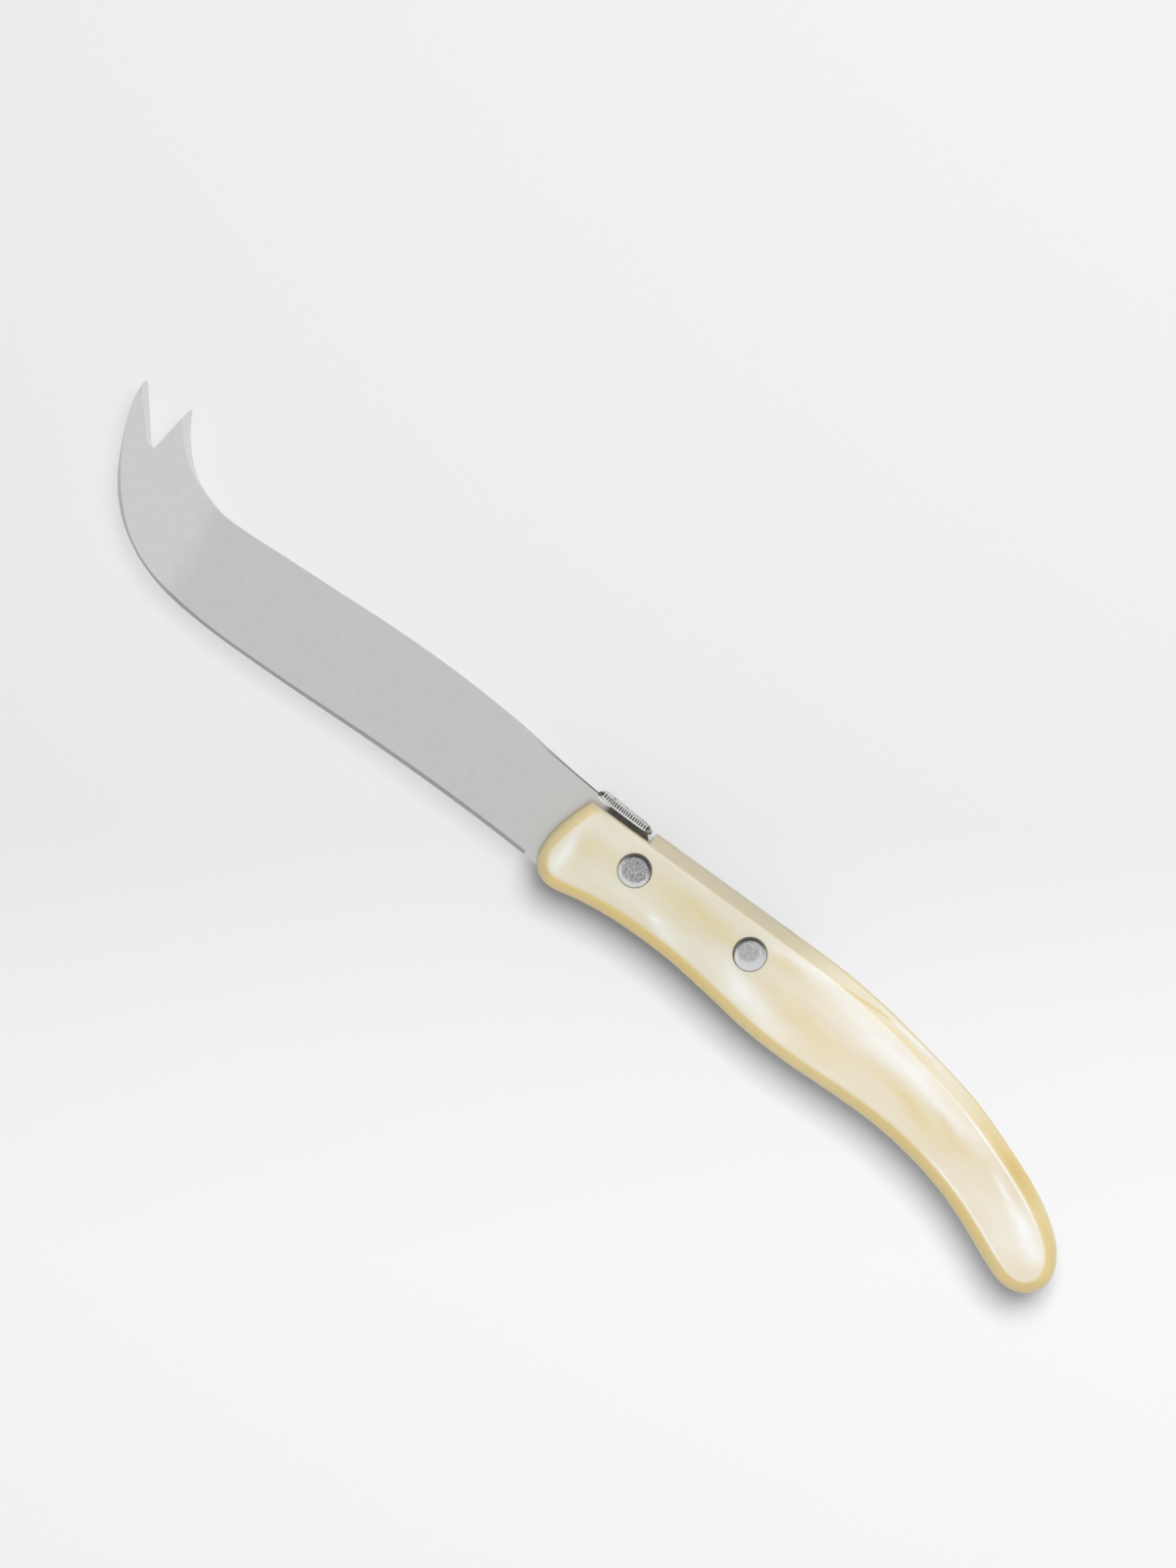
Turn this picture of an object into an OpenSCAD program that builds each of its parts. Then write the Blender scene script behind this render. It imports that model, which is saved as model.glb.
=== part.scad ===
// Cheese knife with a turned-up fork tip, two pearly handle scales, two rivets and a bee on the spine.
// It lies on its right flank: X runs from the tips to the butt, Y from the edge to the spine, Z is up.
// Every outline is drawn from the front of the handle (x = 0) and the middle line of the tang (y = 0).

/* [Blade] */
// Length from the front of the handle to the outer tip
blade_len = 108.3; // [90:0.1:140]
// Height of the blade from its cutting edge to its spine
blade_w = 19.4; // [17:0.1:20.5]
// Thickness of the steel at the spine and the tang
blade_t = 2; // [1.6:0.1:2.6]
// Thickness behind the cutting edge, before the edge is sharpened
edge_t = 0.5; // [0.3:0.05:0.8]
// Thickness of the sharpened edge
sharp_t = 0.1; // [0.05:0.01:0.2]
// Angle of each side of the sharpened edge
edge_angle = 17; // [12:1:25]
// Angle of the bevels on the prongs
prong_angle = 25; // [18:1:35]
// Radius of the outer tip
outer_tip_r = 0.45; // [0.3:0.05:0.6]
// Radius of the inner tip
inner_tip_r = 0.3; // [0.2:0.05:0.4]
// Radius at the bottom of the notch between the prongs
fork_notch_r = 0.5; // [0.3:0.05:1]
// Distance from the front of the handle to where the sharpened edge stops
heel_gap = 1.5; // [1:0.1:4]
// Distance from the handle to the small step where the flat grind stops
plunge_gap = 0.2; // [0.16:0.02:0.4]

/* [Tang] */
// Width of the half tang inside the handle
tang_w = 9; // [8:0.1:9.6]
// Length of the tang behind the rear rivet
tang_tail = 9; // [6:0.5:20]
// Depth that the full height of the blade reaches into the handle
heel_depth = 3; // [2.5:0.1:5]
// Height of the raised lug above the floor of the handle's notch
lug_h = 1.1; // [0.9:0.05:1.6]
// Glue line between the tang and its pocket
glue_gap = 0.05; // [0.02:0.01:0.1]

/* [Handle] */
// Length of the handle
handle_len = 121.3; // [110:0.1:140]
// Greatest height of the handle
handle_w = 19.8; // [19:0.1:24]
// Thickness of the handle over both scales
handle_t = 13; // [10:0.1:16]
// Width of the bevel along the belly
bevel_belly = 2.25; // [1.2:0.05:2.6]
// Width of the bevel along the spine
bevel_spine = 2.25; // [1.2:0.05:3]
// Height of the bevel
bevel_h = 3; // [2:0.1:4]
// Depth of the notch below the spine
notch_depth = 1.9; // [1.6:0.05:2.4]

/* [Rivets] */
// Diameter of a rivet
rivet_d = 6.3; // [4:0.1:7]
// Distance from the front of the handle to the front rivet
rivet_x = 16.4; // [14:0.1:22]
// Distance between the rivets
rivet_spacing = 25.9; // [20:0.1:34]
// Height of the rivets above the middle line of the tang
rivet_rise = 0.35; // [0:0.05:0.45]
// Width of the level rim round a rivet's dished face
rivet_rim = 0.35; // [0.2:0.05:0.6]
// Depth of the dish
rivet_dish = 0.2; // [0.1:0.05:0.4]
// Radial clearance of a rivet in its holes
rivet_fit = 0.02; // [0.01:0.01:0.05]

/* [Bee] */
// Length of the bee along the spine
bee_len = 12.2; // [11:0.1:13]
// Width across the bee's wings
bee_w = 5.6; // [4:0.1:7]
// Height of the bee's back above its seat
bee_h = 1.55; // [1.2:0.05:2]
// Thickness of the plate that the bee is raised on
bee_plate = 0.4; // [0.3:0.05:0.6]
// Distance from the front of the handle to the bee's head
bee_x = 2.7; // [2.5:0.1:2.9]
// Height by which the head stands higher than the seat
head_lift = 0.5; // [0.3:0.05:0.7]
// Gap between the bee's tail and the end of the handle's notch
tail_gap = 0.9; // [0.6:0.1:2]
// Gap between the lug and the end of the notch
lug_gap = 0.5; // [0.3:0.1:1]
// Diameter of the pin under the bee
pin_d = 1.1; // [0.8:0.1:1.2]
// Depth of the pin in the lug
pin_len = 2.4; // [1.5:0.1:3]
// Radial clearance of the pin in its hole
pin_fit = 0.02; // [0.01:0.01:0.05]

/* [Hidden] */
// Amount by which a cutting shape runs past what it cuts
overrun = 1;
// Steps of a curve between two of its points, and of a small arc
curve_steps = 4;
arc_steps = 5;
round_fn = 64;
// Turn of a rivet hole about its axis, so that its first line meets no corner of the faces round it
hole_turn = 11;

// Outline of the handle, as shares of its length and its greatest height: down the front end, along the
// belly, round the butt and back along the spine
front_shares = [[0.019, 0.25], [0.0085, 0.06], [0.001, -0.15], [0.001, -0.336], [0.0095, -0.462],
    [0.025, -0.543]];
belly_shares = [[0.05, -0.566], [0.10, -0.506], [0.165, -0.466], [0.25, -0.469], [0.33, -0.521],
    [0.41, -0.582], [0.49, -0.599], [0.57, -0.583], [0.65, -0.583], [0.73, -0.641], [0.80, -0.746]];
butt_shares = [[0.86, -0.884], [0.905, -1.003], [0.945, -1.078], [0.98, -1.033], [1, -0.858],
    [0.993, -0.633]];
spine_shares = [[0.965, -0.439], [0.91, -0.229], [0.83, -0.029], [0.75, 0.131], [0.67, 0.231],
    [0.58, 0.324], [0.49, 0.378], [0.40, 0.388], [0.28, 0.388], [0.15, 0.388], [0.06, 0.388]];
// Corner where the spine's line meets the front end, which the notch takes away
front_corner_share = [0.027, 0.388];

// Outline of the blade, as shares of its length forward of the handle and of its height:
// the spine from the handle to the inner prong, and the belly from the outer prong to the heel
back_shares = [[0.052, 0.43], [0.131, 0.484], [0.21, 0.513], [0.305, 0.528], [0.415, 0.518],
    [0.526, 0.485], [0.628, 0.456], [0.711, 0.43], [0.766, 0.438], [0.815, 0.526], [0.844, 0.624],
    [0.866, 0.742], [0.884, 0.861], [0.898, 0.985]];
inner_tip_share = [0.908, 1.09];
fork_notch_share = [0.92, 0.518];
outer_tip_share = [1, 1.072];
edge_shares = [[0.9985, 0.925], [0.994, 0.775], [0.98, 0.56], [0.963, 0.35], [0.944, 0.16],
    [0.921, -0.01], [0.893, -0.16], [0.859, -0.287], [0.82, -0.389], [0.773, -0.464], [0.718, -0.505],
    [0.646, -0.523], [0.554, -0.518], [0.447, -0.50], [0.35, -0.48], [0.25, -0.469], [0.15, -0.469],
    [0.06, -0.479]];
// Place in the list of spine points where the bevel of the inner prong begins
prong_bevel_start = 8;

// Height of the spine where the blade is thickest, as a share of its own height
thick_share = 0.53;
// Line across the blade where the grind turns up into the fork: its place along the blade, its lean
// in degrees, and how much thinner each side gets with each millimetre past it
fork_turn_share = 0.76;
fork_turn_lean = 8;
fork_taper_share = 0.02;
// Half thickness left at the outer tip, beside the fork's notch and at the inner tip, as shares of the steel
outer_tip_keep_share = 0.38;
notch_side_keep_share = 0.17;
inner_side_keep_share = 0.13;

// Part of a quarter turn that the bevel's curve takes, and its steps
bevel_sweep = 52;
bevel_steps = 6;
// Part of a step that the curve runs on past the flat flank, which then cuts it
bevel_overrun_share = 0.2;

// Radius of the corner between the spine and the front end, as a share of the spine's bevel
front_corner_r_share = 1.1;

// Places along the bee, as shares of its length: the ends of its lifted head, and of the level seat
nose_share = 0.04;
head_share = 0.29;
seat_rear_share = 0.96;
// Height of the lug's nose and of the blade's spine over the seat, as shares of the head's lift
nose_lift_share = 0.7;
spine_lift_share = 1.6;
// Depth of the hollow under the head, as a share of the lug's height
hollow_share = 0.3;
// Lumps of the bee: place along it and across it, half length, half height and half width, as shares of
// the bee's length, half width, length, height over the plate and half width
head_lump_shares = [0.14, 0, 0.13, 1.05, 0.46];
thorax_lump_shares = [0.37, 0, 0.17, 1, 0.5];
abdomen_lump_shares = [0.72, 0, 0.26, 0.62, 0.4];
wing_lump_shares = [0.66, 0.52, 0.25, 0.45, 0.3];
// Angle that a wing spreads from the bee's length
wing_spread = 9;
lump_fn = 28;

// Heights on the spine at the bee
spine_y = front_corner_share[1] * handle_w;
floor_y = spine_y - notch_depth;
seat_y = floor_y + lug_h;
// Ends of the notch, of the lug, of its level seat, and of the hollow under the bee's head
notch_len = bee_x + bee_len + tail_gap;
lug_rear = notch_len - lug_gap;
seat_rear = bee_x + seat_rear_share * bee_len;
seat_front = bee_x + head_share * bee_len;
nose_end = bee_x + nose_share * bee_len;
nose_y = seat_y + nose_lift_share * head_lift;
hollow_drop = hollow_share * lug_h;
// The blade's spine stops just before the bee's head
spine_end = [bee_x - glue_gap, seat_y + spine_lift_share * head_lift];

// Tang and its rivets
rear_x = rivet_x + rivet_spacing;
tang_end = rear_x + tang_tail;
heel_y = -blade_w / 2;
half_t = blade_t / 2;
half_handle = handle_t / 2;

// A smooth curve through points
function spline_at(a, b, c, d, t) =
    (2 * b + (c - a) * t + (2 * a - 5 * b + 4 * c - d) * t * t + (3 * b - a - 3 * c + d) * t * t * t) / 2;
function spline(p, n) =
    let (m = len(p), q = concat([2 * p[0] - p[1]], p, [2 * p[m - 1] - p[m - 2]]))
    concat([for (i = [0:m - 2], k = [0:n - 1]) spline_at(q[i], q[i + 1], q[i + 2], q[i + 3], k / n)],
        [p[m - 1]]);

// A corner rounded by an arc that both of its sides touch
function unit(v) = v / norm(v);
function rounded(before, corner, after, r) =
    let (
        u = unit(before - corner),
        v = unit(after - corner),
        half = acos(u * v) / 2,
        centre = corner + unit(u + v) * r / sin(half),
        first = corner + u * r / tan(half) - centre,
        last = corner + v * r / tan(half) - centre,
        a0 = atan2(first[1], first[0]),
        turn = (atan2(last[1], last[0]) - a0 + 540) % 360 - 180
    )
    [for (k = [0:arc_steps]) let (a = a0 + turn * k / arc_steps) centre + r * [cos(a), sin(a)]];

// Points from shares
function on_handle(shares) = [for (s = shares) [s[0] * handle_len, s[1] * handle_w]];
function on_blade(s) = [-s[0] * blade_len, s[1] * blade_w];
function along_blade(shares) = [for (s = shares) on_blade(s)];

// Unit normals to the left of a path, and whether the path is closed
function normals(p, closed) =
    let (m = len(p))
    [for (i = [0:m - 1])
        let (
            a = closed ? p[(i + m - 1) % m] : p[max(i - 1, 0)],
            b = closed ? p[(i + 1) % m] : p[min(i + 1, m - 1)],
            t = unit(b - a)
        )
        [-t[1], t[0]]];

// The handle's outline, anticlockwise, and its inward normals
handle_path = spline(on_handle(concat(front_shares, belly_shares, butt_shares, spine_shares)), curve_steps);
front_corner = on_handle([front_corner_share])[0];
corner_arc = rounded(handle_path[len(handle_path) - 1], front_corner, handle_path[0],
    front_corner_r_share * bevel_spine);
handle_ring = concat(handle_path, corner_arc);
handle_in = normals(handle_ring, true);

// The blade's stretches
back_path = spline(concat([spine_end], along_blade(back_shares)), curve_steps);
edge_path = spline(concat(along_blade(edge_shares), [[heel_depth, heel_y]]), curve_steps);
inner_tip = on_blade(inner_tip_share);
outer_tip = on_blade(outer_tip_share);
fork_notch = on_blade(fork_notch_share);
inner_arc = rounded(back_path[len(back_path) - 1], inner_tip, fork_notch, inner_tip_r);
notch_arc = rounded(inner_tip, fork_notch, outer_tip, fork_notch_r);
outer_arc = rounded(fork_notch, outer_tip, edge_path[0], outer_tip_r);

// The tang from the heel round its end to the lug
tang_r = tang_w / 2;
function tang_arc(grow) = [for (k = [0:2 * arc_steps]) let (a = -90 + 90 * k / arc_steps, r = tang_r + grow)
    [tang_end - tang_r + r * cos(a), r * sin(a)]];
hollow = [for (k = [0:arc_steps]) let (a = 180 * k / arc_steps)
    [seat_front + (nose_end - seat_front) * (1 - cos(a)) / 2, seat_y - hollow_drop * sin(a)]];
lug_path = concat([[lug_rear, tang_r], [lug_rear, floor_y], [seat_rear, seat_y]], hollow,
    [[nose_end, nose_y], [spine_end[0], nose_y]]);

blade_ring = concat(back_path, inner_arc, notch_arc, outer_arc, edge_path,
    [[heel_depth, -tang_r]], tang_arc(0), lug_path);

// Ends of the whole knife, which set its origin
all_x = [for (p = concat(handle_ring, blade_ring)) p[0]];
all_y = [for (p = concat(handle_ring, blade_ring)) p[1]];
mid_x = (min(all_x) + max(all_x)) / 2;
mid_y = (min(all_y) + max(all_y)) / 2;

// Slope of each side of the blade's grind
grind_slope = (blade_t - edge_t) / 2 / blade_w;
thick_y = thick_share * blade_w;

// Moves a piece to the knife's own frame, lying on its right flank
module placed() {
    translate([-mid_x, -mid_y, half_handle]) children();
}

// Both sides of something that is drawn for the upper side
module both_sides() {
    children();
    mirror([0, 0, 1]) children();
}

// A solid made of rings of m points, one above the other
module stacked(points, m) {
    last = len(points) - m;
    sides = [for (k = [0:m:last - m], i = [0:m - 1])
        let (a = k + i, b = k + (i + 1) % m)
        each [[a, a + m, b + m], [a, b + m, b]]];
    bottom = [for (i = [0:m - 1]) i];
    top = [for (i = [m - 1:-1:0]) last + i];
    polyhedron(points, concat([bottom, top], sides));
}

// What the grinding wheel takes from one side: everything over a slope that runs along +X from a point
module over_slope(from, to, rise_from, slope, wide) {
    top = half_t + overrun;
    rotate([90, 0, 0])
        linear_extrude(height = wide, center = true)
            polygon([[from, rise_from], [to, rise_from + slope * (to - from)], [to, top], [from, top]]);
}

// The flat grind of the blade, from the spine down to the edge, and from the tips to just before the handle,
// so that the foot keeps its full thickness between the scales. The step there stands square to the ground side
module blade_grind() {
    low = -thick_y - overrun;
    wide = blade_len + heel_depth + 2 * overrun;
    difference() {
        translate([heel_depth + overrun - wide / 2, 0, 0])
            rotate([0, 0, 90])
                over_slope(low, thick_y, half_t - grind_slope * (thick_y - low), grind_slope, wide);
        rotate([atan(grind_slope), 0, 0])
            linear_extrude(height = handle_t, center = true)
                polygon([for (i = [0:len(handle_ring) - 1]) handle_ring[i] - plunge_gap * handle_in[i]]);
    }
}

// The second grind, which turns up with the fork
module fork_grind() {
    turn_x = -fork_turn_share * blade_len;
    slope_x = fork_taper_share * cos(fork_turn_lean);
    slope_y = fork_taper_share * sin(fork_turn_lean) + grind_slope;
    slope = norm([slope_x, slope_y]);
    reach = blade_len - fork_turn_share * blade_len + blade_w;
    at_turn = half_t - grind_slope * thick_y;
    translate([turn_x, 0, 0])
        rotate([0, 0, atan2(slope_y, slope_x)])
            over_slope(-reach, (half_t - at_turn) / slope, at_turn - slope * reach, slope, 2 * reach);
}

// A bevel cut along a path, with the steel on the left of the path: keep holds the half thickness that is
// left at each of its points
module bevel_along(path, keep, angle) {
    n = normals(path, false);
    m = len(path);
    top = half_t + overrun;
    rings = [for (i = [0:m - 1])
        let (
            near = path[i] - n[i] * overrun,
            far = path[i] + n[i] * (top - keep[i]) / tan(angle)
        )
        each [[near[0], near[1], keep[i] - overrun * tan(angle)], [near[0], near[1], top],
            [far[0], far[1], top]]];
    sides = [for (i = [0:m - 2], j = [0:2])
        let (a = 3 * i + j, b = 3 * i + (j + 1) % 3)
        each [[a, b, b + 3], [a, b + 3, a + 3]]];
    polyhedron(rings, concat([[2, 1, 0]], sides, [[3 * m - 3, 3 * m - 2, 3 * m - 1]]));
}

// A value that eases from a to b while t goes from 0 to 1
function ease(a, b, t) = let (s = max(0, min(1, t))) a + (b - a) * s * s * (3 - 2 * s);

// The sharpened edge, from the outer tip to just before the handle
module edge_bevel() {
    whole = [for (p = edge_path) if (p[0] < -heel_gap) p];
    last = whole[len(whole) - 1];
    next = edge_path[len(whole)];
    stop = last + (next - last) * (-heel_gap - last[0]) / (next[0] - last[0]);
    path = concat([outer_arc[arc_steps] + unit(outer_arc[arc_steps] - edge_path[0]) * outer_tip_r], whole,
        [stop]);
    m = len(path);
    keep = [for (i = [0:m - 1]) ease(outer_tip_keep_share * blade_t, sharp_t / 2, 3 * i / m)];
    bevel_along(path, keep, edge_angle);
}

// The bevel on the notch side of the outer prong
module notch_bevel() {
    side = unit(outer_arc[0] - notch_arc[arc_steps]);
    path = [notch_arc[arc_steps], outer_arc[0] + side * outer_tip_r];
    bevel_along(path, [notch_side_keep_share, notch_side_keep_share] * blade_t, prong_angle);
}

// The bevel up the spine side of the inner prong, which starts from nothing
module prong_bevel() {
    first = prong_bevel_start * curve_steps;
    last = len(back_path) - 1;
    side = unit(inner_arc[0] - back_path[last]);
    path = concat([for (i = [first:last]) back_path[i]], [inner_arc[0] + side * inner_tip_r]);
    m = len(path);
    keep = [for (i = [0:m - 1]) ease(half_t, inner_side_keep_share * blade_t, i / (m - 1))];
    bevel_along(path, keep, prong_angle);
}

// Hole for a rivet through the knife, or the part of it that a piece holds
module rivet_holes(h) {
    for (x = [rivet_x, rear_x])
        translate([x, rivet_rise, 0])
            rotate([0, 0, hole_turn])
                cylinder(r = rivet_d / 2 + rivet_fit, h = h, center = true, $fn = round_fn);
}

// Forked blade, half tang and lug, cut from one sheet of steel
module blade() {
    color("silver")
    placed()
    difference() {
        linear_extrude(height = blade_t, center = true) polygon(blade_ring);
        both_sides() blade_grind();
        both_sides() fork_grind();
        both_sides() edge_bevel();
        both_sides() notch_bevel();
        both_sides() prong_bevel();
        rivet_holes(blade_t + overrun);
        translate([bee_x + bee_len / 2, seat_y + overrun, 0])
            rotate([90, 0, 0])
                cylinder(r = pin_d / 2 + pin_fit, h = pin_len + glue_gap + overrun, $fn = round_fn);
    }
}

// Sides of the handle above the middle plane: an upright wall, then a bevel that curves over to the flat
// flank. They run past both planes
module handle_sides() {
    wall = half_handle - bevel_h;
    m = len(handle_ring);
    bevel_mid = (bevel_spine + bevel_belly) / 2;
    bevel_swing = (bevel_spine - bevel_belly) / 2;
    curve = [for (k = [0:bevel_steps])
        let (a = bevel_sweep * k / bevel_steps)
        [(1 - cos(a)) / (1 - cos(bevel_sweep)), wall + bevel_h * sin(a) / sin(bevel_sweep)]];
    past = curve[bevel_steps] + bevel_overrun_share * (curve[bevel_steps] - curve[bevel_steps - 1]);
    levels = concat([[0, -overrun]], curve, [past]);
    points = [for (level = levels, i = [0:m - 1])
        let (
            width = bevel_mid - bevel_swing * handle_in[i][1],
            p = handle_ring[i] + handle_in[i] * width * level[0]
        )
        [p[0], p[1], level[1]]];
    stacked(points, m);
}

// Room that the tang and the foot of the blade take in a scale
module tang_pocket() {
    foot_x = heel_depth + glue_gap;
    lug_x = lug_rear + glue_gap;
    high = spine_y + overrun;
    translate([0, 0, -overrun])
        linear_extrude(height = half_t + glue_gap + overrun)
            polygon(concat(
                [[-overrun, high], [-overrun, heel_y - glue_gap], [foot_x, heel_y - glue_gap],
                    [foot_x, -tang_r - glue_gap]],
                tang_arc(glue_gap),
                [[lug_x, tang_r + glue_gap], [lug_x, high]]
            ));
}

// One scale, drawn for the upper side
module scale_body() {
    difference() {
        intersection() {
            handle_sides();
            linear_extrude(height = half_handle) square(3 * handle_len, center = true);
        }
        translate([-overrun, floor_y, -overrun])
            cube([notch_len + overrun, notch_depth + overrun, half_handle + 2 * overrun]);
        tang_pocket();
        rivet_holes(2 * handle_t);
    }
}

// The scale that shows, with the knife's point to the left
module left_scale() {
    color("cornsilk") placed() scale_body();
}

// The scale that the knife lies on
module right_scale() {
    color("wheat") placed() mirror([0, 0, 1]) scale_body();
}

// One rivet through both scales and the tang, with a dished face at each end
module rivet(x) {
    r = rivet_d / 2;
    dish_r = r - rivet_rim;
    ball_r = (dish_r * dish_r + rivet_dish * rivet_dish) / (2 * rivet_dish);
    placed()
    translate([x, rivet_rise, 0])
    difference() {
        cylinder(r = r, h = handle_t, center = true, $fn = round_fn);
        both_sides()
            translate([0, 0, half_handle - rivet_dish + ball_r])
                sphere(r = ball_r, $fn = 2 * round_fn);
    }
}

module front_rivet() {
    color("gainsboro") rivet(rivet_x);
}

module rear_rivet() {
    color("gainsboro") rivet(rear_x);
}

// A rounded lump of the bee, from its row of shares, the height of its middle, its side and its turn: a ball
// with its poles along the bee, drawn out to size
module lump(shares, middle, side = 1, turn = 0) {
    half_w = bee_w / 2;
    rise = bee_h - bee_plate;
    translate([shares[0] * bee_len, middle, side * shares[1] * half_w])
        rotate([0, turn, 0])
            scale([shares[2] * bee_len, shares[3] * rise, shares[4] * half_w])
                rotate([0, 90, 0])
                    sphere(r = 1, $fn = lump_fn);
}

// The bee's lumps: head, thorax, abdomen and two folded wings
module bee_lumps() {
    lump(head_lump_shares, head_lift + bee_plate / 2);
    lump(thorax_lump_shares, bee_plate);
    lump(abdomen_lump_shares, bee_plate);
    for (side = [-1, 1])
        lump(wing_lump_shares, bee_plate, side, -side * wing_spread);
}

// Bee with folded wings, raised on a thin plate that lifts at the head, with one pin under it
module bee() {
    head_end = head_share * bee_len;
    color("lightsteelblue")
    placed()
    translate([bee_x, seat_y, 0]) {
        intersection() {
            rotate([90, 0, 0])
                linear_extrude(height = 4 * bee_h, center = true) polygon(bee_plan());
            union() {
                linear_extrude(height = 2 * bee_w, center = true)
                    polygon([[0, head_lift], [head_end, 0], [bee_len, 0], [bee_len, bee_plate],
                        [head_end, bee_plate], [0, head_lift + bee_plate]]);
                bee_lumps();
            }
            above_seat();
        }
        translate([bee_len / 2, bee_plate / 2, 0])
            rotate([90, 0, 0])
                cylinder(r = pin_d / 2, h = pin_len + bee_plate / 2, $fn = round_fn);
    }
}

// Space that lies above the underside of the bee's plate
module above_seat() {
    high = 4 * bee_h;
    linear_extrude(height = 2 * bee_w, center = true)
        polygon([[0, head_lift], [head_share * bee_len, 0], [bee_len, 0], [bee_len, high], [0, high]]);
}

// Half widths of the bee's plate along its length, as shares of its length and half width
plate_shares = [[0, 0], [0.02, 0.26], [0.09, 0.44], [0.2, 0.46], [0.27, 0.4], [0.36, 0.56], [0.5, 0.84],
    [0.66, 1], [0.8, 0.96], [0.9, 0.72], [0.97, 0.42], [1, 0]];
function bee_plan() =
    let (
        p = spline([for (s = plate_shares) [s[0] * bee_len, s[1] * bee_w / 2]], 2),
        m = len(p)
    )
    concat(p, [for (i = [m - 2:-1:1]) [p[i][0], -p[i][1]]]);

blade();
left_scale();
right_scale();
front_rivet();
rear_rivet();
bee();
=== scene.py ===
# %% [markdown]
# # A cheese knife on a pale table
# The knife lies on its right flank. A forked steel blade runs through two pearly handle scales, two
# rivets hold them, and a small steel bee sits on the spine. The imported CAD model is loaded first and
# never moved. Each piece below is then built finer than the CAD solid that it stands for, in the same
# place.

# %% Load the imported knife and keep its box
import math

import bpy
import numpy as np
from mathutils import Matrix, Vector, noise


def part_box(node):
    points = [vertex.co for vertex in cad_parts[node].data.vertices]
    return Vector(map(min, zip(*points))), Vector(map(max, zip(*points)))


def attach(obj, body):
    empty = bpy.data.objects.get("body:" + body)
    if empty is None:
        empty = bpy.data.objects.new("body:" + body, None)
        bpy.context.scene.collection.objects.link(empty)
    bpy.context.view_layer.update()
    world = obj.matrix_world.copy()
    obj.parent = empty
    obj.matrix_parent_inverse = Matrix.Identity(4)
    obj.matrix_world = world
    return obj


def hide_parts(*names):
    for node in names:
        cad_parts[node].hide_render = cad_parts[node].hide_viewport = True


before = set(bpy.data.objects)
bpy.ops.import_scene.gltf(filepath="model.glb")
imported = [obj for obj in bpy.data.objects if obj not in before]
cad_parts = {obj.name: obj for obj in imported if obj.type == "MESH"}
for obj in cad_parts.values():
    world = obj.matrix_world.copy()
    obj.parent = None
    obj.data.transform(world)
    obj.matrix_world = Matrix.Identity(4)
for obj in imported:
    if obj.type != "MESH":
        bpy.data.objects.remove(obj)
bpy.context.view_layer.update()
print("pieces in the packed knife:", sorted(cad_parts))

# %% [markdown]
# ## One datum for every outline
# A knife maker measures from the front of the handle and from the middle line of the tang. The
# drawing used that datum too, so the outlines here are written in millimetres from it. The front
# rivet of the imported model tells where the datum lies: 16.4 mm in front of the rivet's middle, 0.35
# mm below it and half way through the handle.

# %% Datum in the knife's own frame
MM = 0.001
RIVET_X = 16.4
REAR_RIVET_X = 42.3
RIVET_Y = 0.35
RIVET_R = 3.15
rivet_low, rivet_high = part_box("front_rivet")
datum = (rivet_low + rivet_high) / 2 - Vector((RIVET_X * MM, RIVET_Y * MM, 0))
print("datum in mm:", [round(c / MM, 3) for c in datum])


def to_frame(points):
    """Points in millimetres from the datum, as metres in the knife's frame."""
    return [datum + Vector(p) * MM for p in points]


def add_object(name, data):
    """An object with the given data, placed in the scene."""
    thing = bpy.data.objects.new(name, data)
    bpy.context.collection.objects.link(thing)
    return thing


# %% [markdown]
# ## The view
# The photograph looks down on the flank from a long way off, leaning a few degrees towards the spine,
# with the knife turned 36 degrees in the picture. A long lens from 2.4 m gives the same flat
# perspective. The sensor is as wide as the long side of the picture, so the lens follows from the
# 285.7 mm that it covers.

# %% Camera
VIEW_TURN = math.radians(36)
VIEW_LEAN = math.radians(3.2)
VIEW_DISTANCE = 2.4
VIEW_HEIGHT = 0.2857
SENSOR = 36.0
aim = Vector((-0.00629, 0.00821, 0.0065))
camera_data = bpy.data.cameras.new("photo_camera")
camera_data.sensor_width = SENSOR
camera_data.sensor_fit = "AUTO"
camera_data.lens = SENSOR * VIEW_DISTANCE / VIEW_HEIGHT
camera = add_object("photo_camera", camera_data)
view = Matrix.Rotation(-VIEW_LEAN, 4, "X") @ Matrix.Rotation(VIEW_TURN, 4, "Z")
camera.matrix_world = Matrix.Translation(aim + VIEW_DISTANCE * view.col[2].to_3d()) @ view
bpy.context.scene.camera = camera
print("lens in mm:", round(camera_data.lens, 1))

# %% [markdown]
# ## Colours and nodes
# Colours are written as sRGB hex, as they are read off a sample, and one function turns them to the
# linear values that the shaders use. One more function adds a node with its settings and its inputs,
# and an input may be a plain value or the output of another node.


# %% Colour and node helpers
def linear(code, alpha=1.0):
    """An sRGB hex colour such as #C8B496 as linear red, green, blue and alpha."""
    channels = [int(code[i:i + 2], 16) / 255 for i in (1, 3, 5)]
    return [c / 12.92 if c <= 0.04045 else ((c + 0.055) / 1.055) ** 2.4 for c in channels] + [alpha]


def add_node(tree, kind, inputs=None, **settings):
    """A node with its settings, and its inputs by name or number: values, or outputs to link."""
    node = tree.nodes.new(kind)
    for name, value in settings.items():
        setattr(node, name, value)
    for name, value in (inputs or {}).items():
        if isinstance(value, bpy.types.NodeSocket):
            tree.links.new(value, node.inputs[name])
        else:
            node.inputs[name].default_value = value
    return node


def new_material(name):
    """An empty material with its output node, as (material, tree, output)."""
    material = bpy.data.materials.new(name)
    material.use_nodes = True
    material.node_tree.nodes.clear()
    return material, material.node_tree, add_node(material.node_tree, "ShaderNodeOutputMaterial")


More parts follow.
